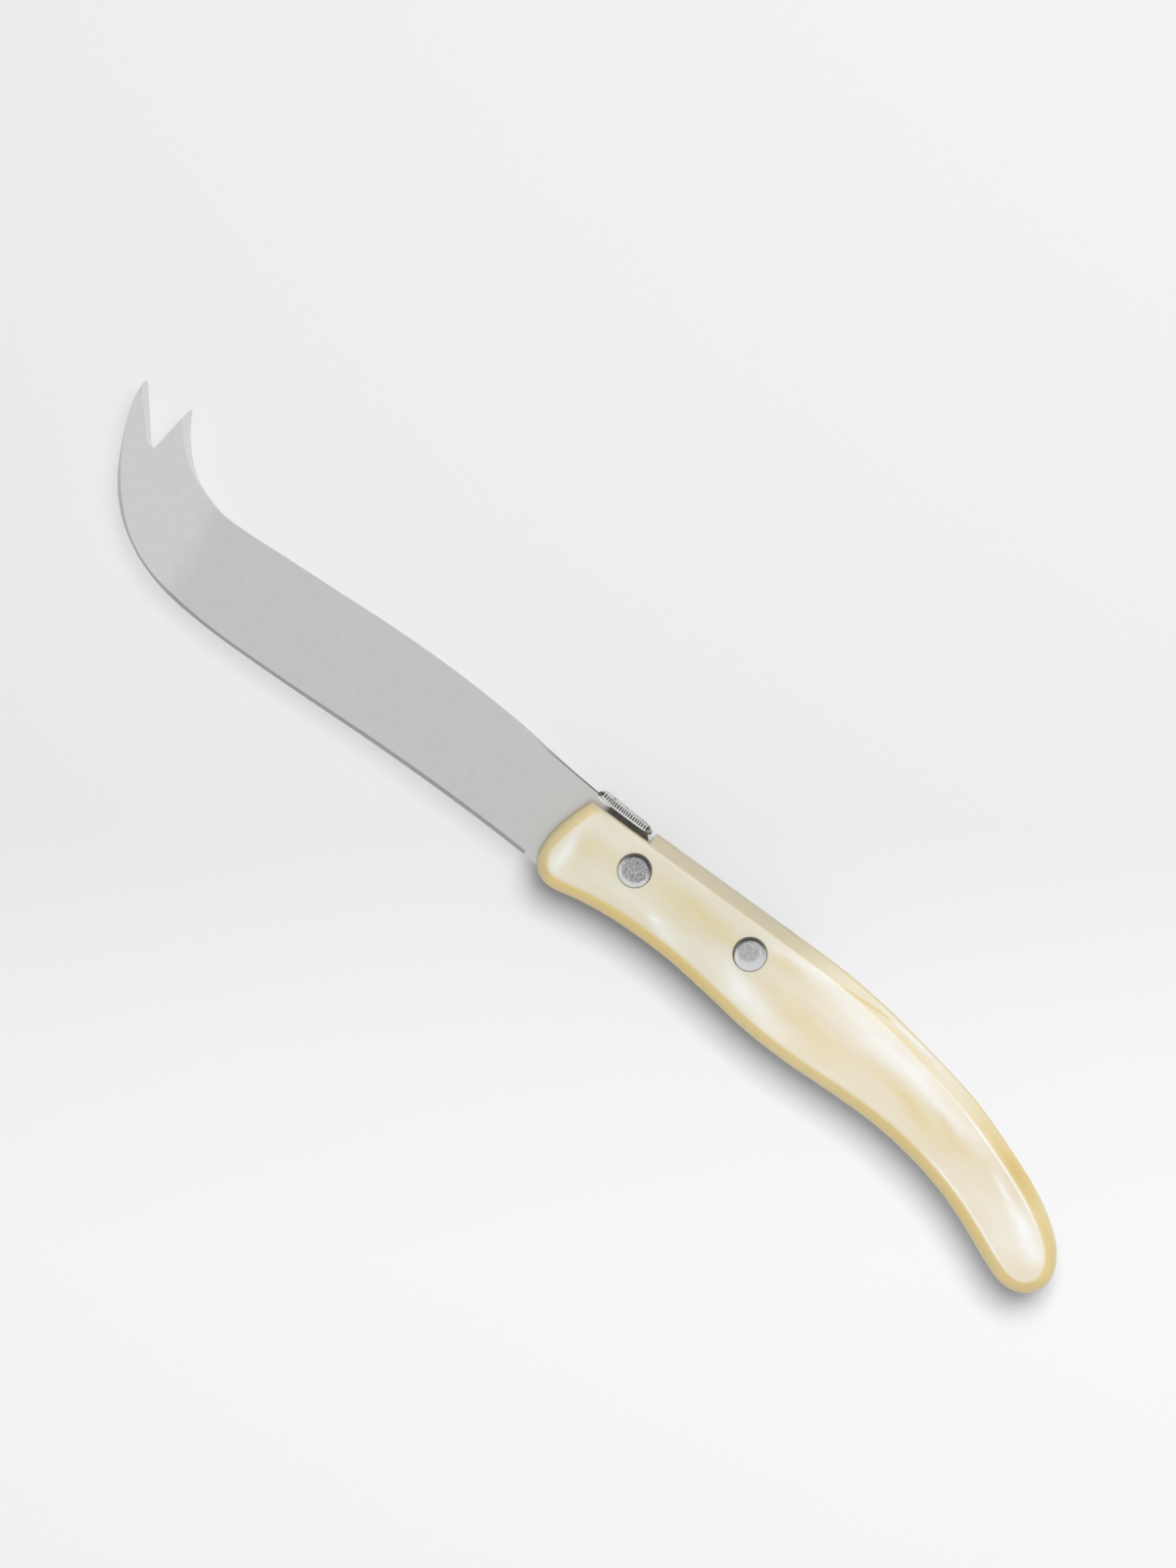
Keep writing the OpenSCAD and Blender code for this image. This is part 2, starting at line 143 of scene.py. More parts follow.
def set_stops(node, stops, interpolation):
    """Sets the stops of a colour ramp: places and linear colours."""
    node.color_ramp.interpolation = interpolation
    elements = node.color_ramp.elements
    while len(elements) < len(stops):
        elements.new(0.5)
    for element, (place, colour) in zip(elements, sorted(stops)):
        element.position = place
        element.color = colour


def ramp(tree, factor, stops, smooth=True):
    """A colour ramp from (place, hex colour) stops."""
    node = add_node(tree, "ShaderNodeValToRGB", {"Fac": factor})
    set_stops(node, [(place, linear(code)) for place, code in stops], "EASE" if smooth else "LINEAR")
    return node.outputs["Color"]


print("white as linear:", linear("#FFFFFF"))

# %% [markdown]
# ## Table and backdrop
# The knife lies on pale paper. It is one large sheet of paper whose colour is painted a little brighter
# towards the lower edge of the picture, a painted light falloff, so the object's shadow stays on it.

# %% Paper
FLOOR_HALF = 3.0
GRADIENT_LOW, GRADIENT_HIGH = -0.13, 0.15
# Paper tones from the lower edge of the picture upwards: the brighter low end is a painted light falloff
PAPER_STOPS_PAINTED_FALLOFF = [(0, "#FEFEFE"), (0.19, "#FEFEFE"), (0.32, "#F9F9F9"), (0.47, "#EFEFEF"), (1, "#EFEFEF")]
FIBRES_PER_METRE = 900
corners = [(x * FLOOR_HALF, y * FLOOR_HALF, 0) for x, y in ((-1, -1), (1, -1), (1, 1), (-1, 1))]
floor_mesh = bpy.data.meshes.new("paper")
floor_mesh.from_pydata(corners, [], [(0, 1, 2, 3)])
paper = add_object("paper", floor_mesh)

paper_material, tree, out = new_material("matt_paper")
place = add_node(tree, "ShaderNodeTexCoord").outputs["Object"]
up_in_view = (-math.sin(VIEW_TURN), math.cos(VIEW_TURN), 0)
height = add_node(tree, "ShaderNodeVectorMath", {0: place, 1: up_in_view}, operation="DOT_PRODUCT")
share = add_node(tree, "ShaderNodeMapRange", {
    "Value": height.outputs["Value"], "From Min": GRADIENT_LOW, "From Max": GRADIENT_HIGH})
shade = ramp(tree, share.outputs["Result"], PAPER_STOPS_PAINTED_FALLOFF, smooth=False)
grain = add_node(tree, "ShaderNodeTexNoise", {"Vector": place, "Scale": FIBRES_PER_METRE, "Detail": 3})
bump = add_node(tree, "ShaderNodeBump", {
    "Height": grain.outputs["Fac"], "Strength": 0.03, "Distance": MM / 10})
skin = add_node(tree, "ShaderNodeBsdfPrincipled", {
    "Base Color": shade, "Roughness": 0.9, "Specular IOR Level": 0.0, "Normal": bump.outputs["Normal"]})
tree.links.new(skin.outputs["BSDF"], out.inputs["Surface"])
floor_mesh.materials.append(paper_material)
print("paper is", 2 * FLOOR_HALF, "m wide")

# %% [markdown]
# ## Light
# One soft box hangs almost straight over the knife, a little towards the spine, and throws the short
# soft shadow along the belly. The handle's shadow in the photo is much deeper than the blade's, so
# the soft box is two lamps in one place: the handle alone blocks the strong one, and everything
# blocks the weak one. A white card low beyond the belly lights only the handle, and a weak dome fills
# the rest.
# Polished metal and glossy plastic show what is round them, so mirror rays see a studio room of their
# own: a soft bright bank on the spine's side, an even ceiling, and a side that falls off to dark
# beyond the belly.

# %% Soft box
KEY_DISTANCE, KEY_LEAN = 1.5, math.radians(21)
KEY_SIZE, KEY_POWER = 0.8, 17.9
BLADE_SHADE = 0.25


def hang_lamp(name, size, power, toward, distance):
    """A square lamp that faces the knife from a direction and isn't seen in mirrors."""
    lamp_data = bpy.data.lights.new(name, "AREA")
    lamp_data.size = size
    lamp_data.energy = power
    lamp = add_object(name, lamp_data)
    lamp.location = aim + toward * distance
    lamp.rotation_euler = toward.to_track_quat("Z", "Y").to_euler()
    lamp.visible_glossy = False
    print(name, "at", [round(c, 2) for c in lamp.location])
    return lamp


toward_key = Vector((0.0, math.sin(KEY_LEAN), math.cos(KEY_LEAN)))
handle_blocks = bpy.data.collections.new("blocks_the_main_soft_box")
main_box = hang_lamp("soft_box_main", KEY_SIZE, KEY_POWER * (1 - BLADE_SHADE), toward_key, KEY_DISTANCE)
main_box.light_linking.blocker_collection = handle_blocks
hang_lamp("soft_box_rest", KEY_SIZE, KEY_POWER * BLADE_SHADE, toward_key, KEY_DISTANCE)

# %% White card on the belly's side
CARD_DISTANCE, CARD_LEAN, CARD_TOWARDS_BUTT = 1.0, math.radians(5), 0.15
CARD_SIZE, CARD_POWER = 0.6, 1.9
toward_card = Vector((CARD_TOWARDS_BUTT, -math.cos(CARD_LEAN), math.sin(CARD_LEAN)))
handle_only = bpy.data.collections.new("lit_by_the_card")
card = hang_lamp("white_card", CARD_SIZE, CARD_POWER, toward_card, CARD_DISTANCE)
card.light_linking.receiver_collection = handle_only

# %% Room that mirrors show
# Shares of a half turn over the knife, from the horizon on the spine's side (0) over the ceiling (0.5) to
# the horizon beyond the belly (1), and how bright the room is there
DOME = 0.29
ROOM_PEAK = 2.6
room_bands = [(0.0, 0.22), (0.05, 0.3), (0.12, 0.33), (0.2, 0.5), (0.27, 0.42), (0.38, 0.39), (0.56, 0.39),
              (0.66, 0.26), (0.8, 0.12), (1.0, 0.07)]
world = bpy.data.worlds.new("studio")
bpy.context.scene.world = world
world.use_nodes = True
tree = world.node_tree
tree.nodes.clear()
direction = add_node(tree, "ShaderNodeTexCoord").outputs["Generated"]
sides = add_node(tree, "ShaderNodeSeparateXYZ", {0: direction}).outputs
over = add_node(tree, "ShaderNodeMath", {0: sides["Z"], 1: sides["Y"]}, operation="ARCTAN2").outputs[0]
over = add_node(tree, "ShaderNodeMath", {0: over, 1: math.pi}, operation="DIVIDE").outputs[0]
room = add_node(tree, "ShaderNodeValToRGB", {"Fac": over})
set_stops(room, [(place, (bright, bright, bright, 1)) for place, bright in room_bands], "EASE")
rays = add_node(tree, "ShaderNodeLightPath").outputs
dome_light = add_node(tree, "ShaderNodeBackground", {"Color": linear("#FFFFFF"), "Strength": DOME})
mirror_room = add_node(tree, "ShaderNodeBackground", {
    "Color": room.outputs["Color"], "Strength": ROOM_PEAK})
backdrop = add_node(tree, "ShaderNodeBackground", {"Color": linear("#F2F2F2"), "Strength": 1.0})
first_look = add_node(tree, "ShaderNodeMath", {0: rays["Diffuse Depth"], 1: 0.5}, operation="LESS_THAN")
in_mirror = add_node(tree, "ShaderNodeMath", {0: rays["Is Glossy Ray"], 1: first_look.outputs[0]},
                     operation="MULTIPLY").outputs[0]
seen = add_node(tree, "ShaderNodeMixShader", {0: in_mirror, 1: dome_light.outputs[0],
                                              2: mirror_room.outputs[0]})
seen = add_node(tree, "ShaderNodeMixShader", {0: rays["Is Camera Ray"], 1: seen.outputs[0],
                                              2: backdrop.outputs[0]})
add_node(tree, "ShaderNodeOutputWorld", {"Surface": seen.outputs[0]})
bpy.context.scene.view_settings.view_transform = "Standard"
print("the mirrored room has", len(room_bands), "bands")

# %% [markdown]
# ## Curves and rings
# Every outline is a smooth curve through listed points, the same curve as in the drawing but with
# more steps, so no facet shows. A solid is then a stack of such rings, one above the other, joined by
# faces.

# %% Smooth curves
FINE_STEPS = 12


def smooth_curve(points, steps=FINE_STEPS):
    """A curve through 2-D points, with the given number of steps between each two."""
    p = np.array(points, float)
    p = np.vstack([2 * p[0] - p[1], p, 2 * p[-1] - p[-2]])
    t = (np.arange(steps) / steps)[:, None]
    runs = []
    for a, b, c, d in zip(p, p[1:], p[2:], p[3:]):
        runs.append((2 * b + (c - a) * t + (2 * a - 5 * b + 4 * c - d) * t ** 2
                     + (3 * b - a - 3 * c + d) * t ** 3) / 2)
    return np.vstack(runs + [p[-2:-1]])


print("three points give", len(smooth_curve([(0, 0), (1, 0), (1, 1)])), "points")


# %% Rings and round corners
def unit(v):
    return v / np.linalg.norm(v, axis=-1, keepdims=True)


def inward_normals(ring):
    """Unit normals to the left of a closed ring that runs anticlockwise."""
    along = unit(np.roll(ring, -1, axis=0) - np.roll(ring, 1, axis=0))
    return np.stack([-along[:, 1], along[:, 0]], axis=1)


def corner_arc(before, corner, after, radius, steps=FINE_STEPS):
    """A round corner that both of its sides touch."""
    before, corner, after = (np.array(p, float) for p in (before, corner, after))
    u, v = unit(before - corner), unit(after - corner)
    half = math.acos(float(u @ v)) / 2
    centre = corner + unit(u + v) * radius / math.sin(half)
    first, last = (corner + w * radius / math.tan(half) - centre for w in (u, v))
    start = math.atan2(first[1], first[0])
    turn = (math.atan2(last[1], last[0]) - start + 3 * math.pi) % (2 * math.pi) - math.pi
    angles = start + turn * np.arange(steps + 1) / steps
    return centre + radius * np.stack([np.cos(angles), np.sin(angles)], axis=1)


print("a round corner has", len(corner_arc((0, 1), (0, 0), (1, 0), 0.5)), "points")


# %% Pieces, cuts and closed tools
def band_faces(levels, count):
    """Faces that join closed rings of equal count, stacked from the first level to the last."""
    return [(k * count + i, k * count + (i + 1) % count, (k + 1) * count + (i + 1) % count,
             (k + 1) * count + i) for k in range(levels - 1) for i in range(count)]


def closed_faces(levels, count):
    """Faces of a closed stack: the bands, a cap under the first ring and one over the last."""
    last = (levels - 1) * count
    caps = [tuple(range(count))[::-1], tuple(range(last, last + count))]
    return band_faces(levels, count) + caps


def new_piece(name, points, faces, sharp=30):
    """A mesh object from points in millimetres off the datum, smooth but for edges over an angle."""
    mesh = bpy.data.meshes.new(name)
    mesh.from_pydata(to_frame(points), [], faces)
    mesh.shade_smooth()
    mesh.set_sharp_from_angle(angle=math.radians(sharp))
    return add_object(name, mesh)


def cut_away(piece, cutters, sharp=30):
    """Cuts closed tools out of a piece, deletes them and shades the result again."""
    for tool in cutters:
        step = piece.modifiers.new(tool.name, "BOOLEAN")
        step.operation = "DIFFERENCE"
        step.solver = "MANIFOLD"
        step.object = tool
    bpy.context.view_layer.update()
    done = bpy.data.meshes.new_from_object(piece.evaluated_get(bpy.context.evaluated_depsgraph_get()))
    piece.modifiers.clear()
    piece.data = done
    for tool in cutters:
        bpy.data.objects.remove(tool)
    done.shade_smooth()
    done.set_sharp_from_angle(angle=math.radians(sharp))
    even = piece.modifiers.new("even_shading", "WEIGHTED_NORMAL")
    even.keep_sharp = True


def prism(name, outline, low, high):
    """A closed tool: an anticlockwise outline between two heights."""
    points = [(x, y, z) for z in (low, high) for x, y in outline]
    return new_piece(name, points, closed_faces(2, len(outline)))


def finish_piece(piece, material, slot, *nodes):
    """Gives a piece its material, hangs it on the root body and hides the CAD nodes that it stands for;
    the slot is not used.
    """
    piece.data.materials.clear()
    piece.data.materials.append(material)
    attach(piece, "root")
    if nodes:
        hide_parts(*nodes)
    print(piece.name, "has", len(piece.data.polygons), "faces")


print("two stacked squares have", len(band_faces(2, 4)), "side faces")

# %% [markdown]
# ## Handle scales
# Each scale is sawn from pearly acrylic sheet and shaped on a belt: an upright wall, then a curved
# bevel that ends in a flat flank. The polishing wheel softens the edge between them, so a short
# fillet runs all round. Near the butt a thin light line is painted along it, a painted highlight.
# The outline comes from the drawing as shares of the handle's length and height.

# %% Outline of the handle
HANDLE_LENGTH, HANDLE_HEIGHT, HALF_HANDLE = 121.3, 19.8, 6.5
SPINE_SHARE = 0.388
front = [(0.019, 0.25), (0.0085, 0.06), (0.001, -0.15), (0.001, -0.336), (0.0095, -0.462), (0.025, -0.543)]
belly = [(0.05, -0.566), (0.10, -0.506), (0.165, -0.466), (0.25, -0.469), (0.33, -0.521), (0.41, -0.582),
         (0.49, -0.599), (0.57, -0.583), (0.65, -0.583), (0.73, -0.641), (0.80, -0.746)]
butt = [(0.86, -0.884), (0.905, -1.003), (0.945, -1.078), (0.98, -1.033), (1, -0.858), (0.993, -0.633)]
spine = [(0.965, -0.439), (0.91, -0.229), (0.83, -0.029), (0.75, 0.131), (0.67, 0.231), (0.58, 0.324),
         (0.49, 0.378), (0.40, 0.388), (0.28, 0.388), (0.15, 0.388), (0.06, 0.388)]
BEVEL, BEVEL_RISE = 2.25, 3.0
handle_size = np.array([HANDLE_LENGTH, HANDLE_HEIGHT])
handle_path = smooth_curve(np.array(front + belly + butt + spine) * handle_size)
front_corner = np.array([0.027, SPINE_SHARE]) * handle_size
corner_points = corner_arc(handle_path[-1], front_corner, handle_path[0], 1.1 * BEVEL)
handle_ring = np.vstack([handle_path, corner_points])
handle_in = inward_normals(handle_ring)
print("handle outline has", len(handle_ring), "points")

# %% [markdown]
# ### One scale as a stack of rings
# The rings go from the middle plane up: a hair of chamfer at the seam, the wall, the bevel, the
# fillet and a last ring that holds the flat. Then the tools of the workshop take the notch for the
# bee, the pocket for the tang and the two rivet holes, whose rims are broken by a small countersink.

# %% Rings of a scale
BEVEL_SWEEP, BEVEL_KEPT = math.radians(52), math.radians(45)
SEAM = 0.06
HOLD = 0.12
CORNER_ROOM = 2.0


def bevel_at(angle):
    """Share of the bevel's width and the height at an angle along its curve."""
    return np.array([(1 - math.cos(angle)) / (1 - math.cos(BEVEL_SWEEP)),
                     HALF_HANDLE - BEVEL_RISE + BEVEL_RISE * math.sin(angle) / math.sin(BEVEL_SWEEP)])


def scale_section():
    """Inset and height of each ring."""
    curve = [bevel_at(a) * (BEVEL, 1) for a in np.linspace(0, BEVEL_KEPT, 9)]
    start, corner = curve[-1], np.array([BEVEL, HALF_HANDLE])
    end = corner + np.array([np.linalg.norm(corner - start), 0])
    fillet = [(1 - t) ** 2 * start + 2 * t * (1 - t) * corner + t * t * end
              for t in np.linspace(0, 1, 7)[1:]]
    wall = [(SEAM, 0), (0, SEAM), (0, 1.2), (0, 2.4)]
    return np.array(wall + curve + fillet + [end + (HOLD, 0)])


section = scale_section()
level_count = len(section)
box_low, box_high = [np.array((corner - datum) / MM)[:2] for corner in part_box("left_scale")]
scale_points = []
for k, (inset, height) in enumerate(section):
    tight = min(inset, CORNER_ROOM + 0.02 * k)
    for i, (p, inward) in enumerate(zip(handle_ring, handle_in)):
        ring_point = p + inward * (inset if i < len(handle_path) else tight)
        scale_points.append((*np.clip(ring_point, box_low, box_high), height))
print("a scale has", level_count, "rings")

# %% Tools that cut a scale
HALF_STEEL, GLUE = 1.0, 0.05
SPINE_Y = SPINE_SHARE * HANDLE_HEIGHT
NOTCH_FLOOR = SPINE_Y - 1.9
NOTCH_END = 15.8
LUG_REAR = 15.3
TANG_R, TANG_END, HEEL_X, HEEL_Y = 4.5, 51.3, 3.0, -9.7
HOLE_R = RIVET_R + 0.02
RIM_BREAK = 0.07
CLEAR = 1.3
ROUND = 96


def circle(x, y, r, count=ROUND):
    a = 2 * math.pi * np.arange(count) / count
    return np.stack([x + r * np.cos(a), y + r * np.sin(a)], axis=1)


def hole_tool(x):
    """Drill and countersink for one rivet hole."""
    stack = [(HOLE_R, -1), (HOLE_R, HALF_HANDLE - RIM_BREAK),
             (HOLE_R + 2 * RIM_BREAK, HALF_HANDLE + RIM_BREAK)]
    points = [(*p, z) for radius, z in stack for p in circle(x, RIVET_Y, radius)]
    return new_piece("drill", points, closed_faces(len(stack), ROUND))


def scale_tools():
    """New tools for one scale: notch, pocket and two drills."""
    a = np.radians(np.linspace(-90, 90, 25))
    arc = np.stack([TANG_END - TANG_R + (TANG_R + GLUE) * np.cos(a), (TANG_R + GLUE) * np.sin(a)], axis=1)
    pocket = [(-1, SPINE_Y + 1), (-1, HEEL_Y - GLUE), (HEEL_X + GLUE, HEEL_Y - GLUE),
              (HEEL_X + GLUE, -TANG_R - GLUE), *arc, (LUG_REAR + GLUE, TANG_R + GLUE),
              (LUG_REAR + GLUE, SPINE_Y + 1)]
    notch = [(-CLEAR, NOTCH_FLOOR), (NOTCH_END, NOTCH_FLOOR), (NOTCH_END, SPINE_Y + CLEAR),
             (-CLEAR, SPINE_Y + CLEAR)]
    return [prism("notch_mill", notch, -CLEAR, HALF_HANDLE + CLEAR),
            prism("pocket_mill", pocket, -1, HALF_STEEL + GLUE),
            hole_tool(RIVET_X), hole_tool(REAR_RIVET_X)]


print("the notch ends", NOTCH_END, "mm from the front")

# %% Build both scales
left_skin = new_piece("left_scale_skin", scale_points, closed_faces(level_count, len(handle_ring)))
cut_away(left_skin, scale_tools())


def mirrored_copy(piece, name):
    """The same piece on the other side of the middle plane."""
    mesh = piece.data.copy()
    mesh.name = name
    mesh.transform(Matrix.Translation((0, 0, 2 * datum.z)) @ Matrix.Scale(-1, 4, (0, 0, 1)))
    mesh.flip_normals()
    return add_object(name, mesh)


right_skin = mirrored_copy(left_skin, "right_scale_skin")
print("scales cut:", len(left_skin.data.polygons), "faces each")

# %% [markdown]
# ### Pearly acrylic
# The scales are cast acrylic sheet, PMMA, filled with thin pearl flakes that settled flat while it
# set. Seen square on, the flakes shine cream and white in long soft clouds. Where the bevel cuts
# across the sheet, the flakes stand on edge and the honey colour of the resin shows through. So the
# colour follows the way that the surface faces, and a field of clouds runs along the handle: long
# noise, fine streaks and a few listed clouds, each a soft bell in the sheet's own plane. Light and
# shade are painted into the colour as well: a painted highlight along the fillet near the butt and
# on the spine bevel, painted light along the belly bevel, and painted shade over the front of the
# flank and on the inner part of the spine bevel. The front of the spine and the front end are made
# darker and greyer. A picture of the real sheet would be quicker, but nodes keep the clouds sharp at
# any size and on every side. Acrylic has an IOR of 1.49. The flanks and bevels are polished, with a
# faint haze, and the upright wall keeps the satin of the belt.

# %% Pearl shades
PEARL_STOPS = [(0.0, "#DDC287"), (0.16, "#E4D09C"), (0.32, "#E8DAB4"), (0.5, "#EBE1CA"), (0.68, "#F1EBDC"),
               (0.84, "#F7F3EA"), (1.0, "#FDFCF8")]
PEARL_MIDDLE, RESIN_MIDDLE = 0.52, 0.36
# Length and width in mm, and how much they change the tone
CLOUD_NOISE, STREAK_NOISE = (20.0, 6.0, 0.22), (14.0, 1.1, 0.07)
SWAY = 3
ACRYLIC_IOR, FLANK_ROUGH, WALL_ROUGH = 1.49, 0.2, 0.7
# Clouds listed one by one: x, y, half length and half width in mm, turn in degrees, and how much lighter
upper_clouds = [(4.3, -4.1, 4.5, 1.0, 94, 0.34), (7.0, -1.7, 2.5, 2.6, 0, -0.16),
                (27, -5.5, 5.5, 1.0, -7, 0.2), (24.6, -5.2, 1.2, 0.4, 25, 0.25),
                (31, 1.3, 9, 1.8, 0, -0.24), (44, -5.0, 4.5, 1.7, -20, 0.3),
                (48.8, 2.4, 3.5, 1.0, 6, -0.22), (52, 4.8, 7, 0.8, 3, 0.2), (66, 2.7, 13, 2.4, -9, 0.3),
                (82, -0.5, 10, 1.9, -9, 0.3), (62, -4.5, 14, 3.0, -3, -0.12),
                (82, -4.8, 7, 1.6, -12, -0.3),
                (107, -8.4, 4.5, 1.0, -28, 0.25), (112, -10.4, 4.0, 1.6, -40, 0.4),
                (116.5, -13.0, 2.2, 1.8, -55, 0.25), (103.5, -7.0, 3, 0.4, -14, 0.25),
                (12.5, -0.8, 4, 1.8, 0, -0.14), (38, -0.8, 6, 1.8, 0, -0.14), (48, -6.6, 8, 2.0, -10, 0.2),
                (90, -4.0, 4.5, 1.0, -16, -0.25), (109, -13, 6, 2.4, -35, 0.14)]
# The same for the resin that shows in the bevel, along the spine and round the butt. The light clouds
# on the spine bevel from x 52 to 90 are partly painted highlight, the thin light streak at x 73.5 is a
# painted highlight, and the long light cloud along the belly at y -11 is painted light
edge_clouds_and_painted_light = [(30, -9.3, 16, 2.5, 1, -0.02), (52, 6.4, 8, 1.8, 0, 0.25), (66, 5.8, 11, 1.5, -4, 0.36),
               (84, 3.4, 13, 2.2, -16, 0.44), (65, 5.6, 8, 0.3, 3, -0.32), (73.5, 5.5, 5, 0.25, -8, 0.35),
               (104, -2.6, 7, 2.6, -29, -0.14), (113, -7.5, 5, 2.5, -50, 0.12),
               (60, -11, 22, 2.5, -2, 0.06)]
# Painted shade over the front of the flank and on the inner part of the spine bevel, and the grey that
# darkens the front of the spine
FRONT_PAINTED_SHADE, SPINE_BEVEL_PAINTED_SHADE, FRONT_GREY = "#F3F6F7", "#F5F6F8", "#C5BDA6"
# How much of that grey shows along the front of the spine and at the front end, and how strong the painted
# highlight along the fillet is
FRONT_GREY_SHARE, FRONT_END_GREY_SHARE, FILLET_PAINTED_HIGHLIGHT = 0.9, 0.4, 0.4
RESIN_STOPS = [(0.0, "#D2B66C"), (0.3, "#E8D08C"), (0.55, "#F0DFAE"), (0.8, "#F5ECD4"), (1.0, "#FBF7EC")]
print(len(upper_clouds) + len(edge_clouds_and_painted_light), "clouds set by hand")

# %% Where each tone shows
# Each part is a product of soft steps: what is measured, where the step starts and where it is full.
# x and y are in mm, up goes from 0 on the wall to 1 on the flank, to_spine is the normal's share along y.
# Three of these parts are painted light and shade: a painted shade over the front of the flank, a painted
# highlight along the fillet near the butt and a painted shade on the inner part of the spine bevel. Two
# more make the front of the spine and the front end darker and greyer.
MASKS = {
    "flank": [("up", 0.90, 0.985)],
    "front_painted_shade": [("x", 62, 34)],
    "fillet_painted_highlight": [("up", 0.965, 0.98), ("up", 0.999, 0.99), ("x", 84, 96), ("x", 118, 108)],
    "spine_bevel_painted_shade": [("to_spine", 0.15, 0.4), ("up", 0.35, 0.7)],
    "front_spine_grey": [("y", 4.6, 5.4), ("x", 62, 42), ("x", 1.5, 6)],
    "front_end_grey": [("x", 5.5, 2.5)]}
print(len(MASKS), "parts of the scale have a tone of their own")


# %% Pearl material
def spot_in_mm(tree):
    """Where a point of the surface lies, in millimetres from the datum."""
    spot = add_node(tree, "ShaderNodeTexCoord").outputs["Object"]
    spot = add_node(tree, "ShaderNodeVectorMath", {0: spot, 1: datum}, operation="SUBTRACT").outputs[0]
    return add_node(tree, "ShaderNodeVectorMath", {0: spot, "Scale": 1 / MM}, operation="SCALE").outputs[0]


def mask(tree, *steps, strength=None):
    """The product of soft steps, each (value, start, end), and of a strength if there is one."""
    factors = [add_node(tree, "ShaderNodeMapRange", {"Value": value, "From Min": start, "From Max": end},
                        interpolation_type="SMOOTHSTEP").outputs[0] for value, start, end in steps]
    product, *others = factors + ([strength] if strength else [])
    for other in others:
        product = add_node(tree, "ShaderNodeMath", {0: product, 1: other},
                           operation="MULTIPLY").outputs[0]
    return product


def add_clouds(tree, field, spot, clouds):
    """A field of values with soft bell-shaped clouds added to it."""
    for x, y, half_length, half_width, turn, amount in clouds:
        local = add_node(tree, "ShaderNodeMapping", {
            "Vector": spot, "Location": (x, y, 0), "Rotation": (0, 0, math.radians(turn)),
            "Scale": (half_length, half_width, 1000)}, vector_type="TEXTURE").outputs[0]
        away = add_node(tree, "ShaderNodeVectorMath", {0: local, 1: local}, operation="DOT_PRODUCT")
        bell = add_node(tree, "ShaderNodeMath", {0: 0.45, 1: away.outputs["Value"]}, operation="POWER")
        field = add_node(tree, "ShaderNodeMath", {0: bell.outputs[0], 1: amount, 2: field},
                         operation="MULTIPLY_ADD").outputs[0]
    return field


def lay_over(tree, tone, *coats, way="MIX"):
    """A tone with coats laid over it, each a share and a colour."""
    for share, colour in coats:
        tone = add_node(tree, "ShaderNodeMix", {0: share, 6: tone, 7: colour}, data_type="RGBA",
                        blend_type=way).outputs[2]
    return tone


def pearl_pattern(tree, spot, seed):
    """Soft clouds and fine streaks along the sheet, as values round 0."""
    pattern = None
    for length, width, amount in (CLOUD_NOISE, STREAK_NOISE):
        stretched = add_node(tree, "ShaderNodeMapping", {
            "Vector": spot, "Location": (seed, seed, 0), "Rotation": (0, 0, math.radians(6)),
            "Scale": (1 / length, 1 / width, 1 / width)})
        texture = add_node(tree, "ShaderNodeTexNoise", {
            "Vector": stretched.outputs[0], "Scale": 1.0, "Detail": 2, "Roughness": 0.4})
        part = add_node(tree, "ShaderNodeMapRange", {
            "Value": texture.outputs["Fac"], "From Min": 0.25, "From Max": 0.75,
            "To Min": -amount / 2, "To Max": amount / 2}).outputs[0]
        pattern = part if pattern is None else add_node(
            tree, "ShaderNodeMath", {0: pattern, 1: part}, operation="ADD").outputs[0]
    return pattern


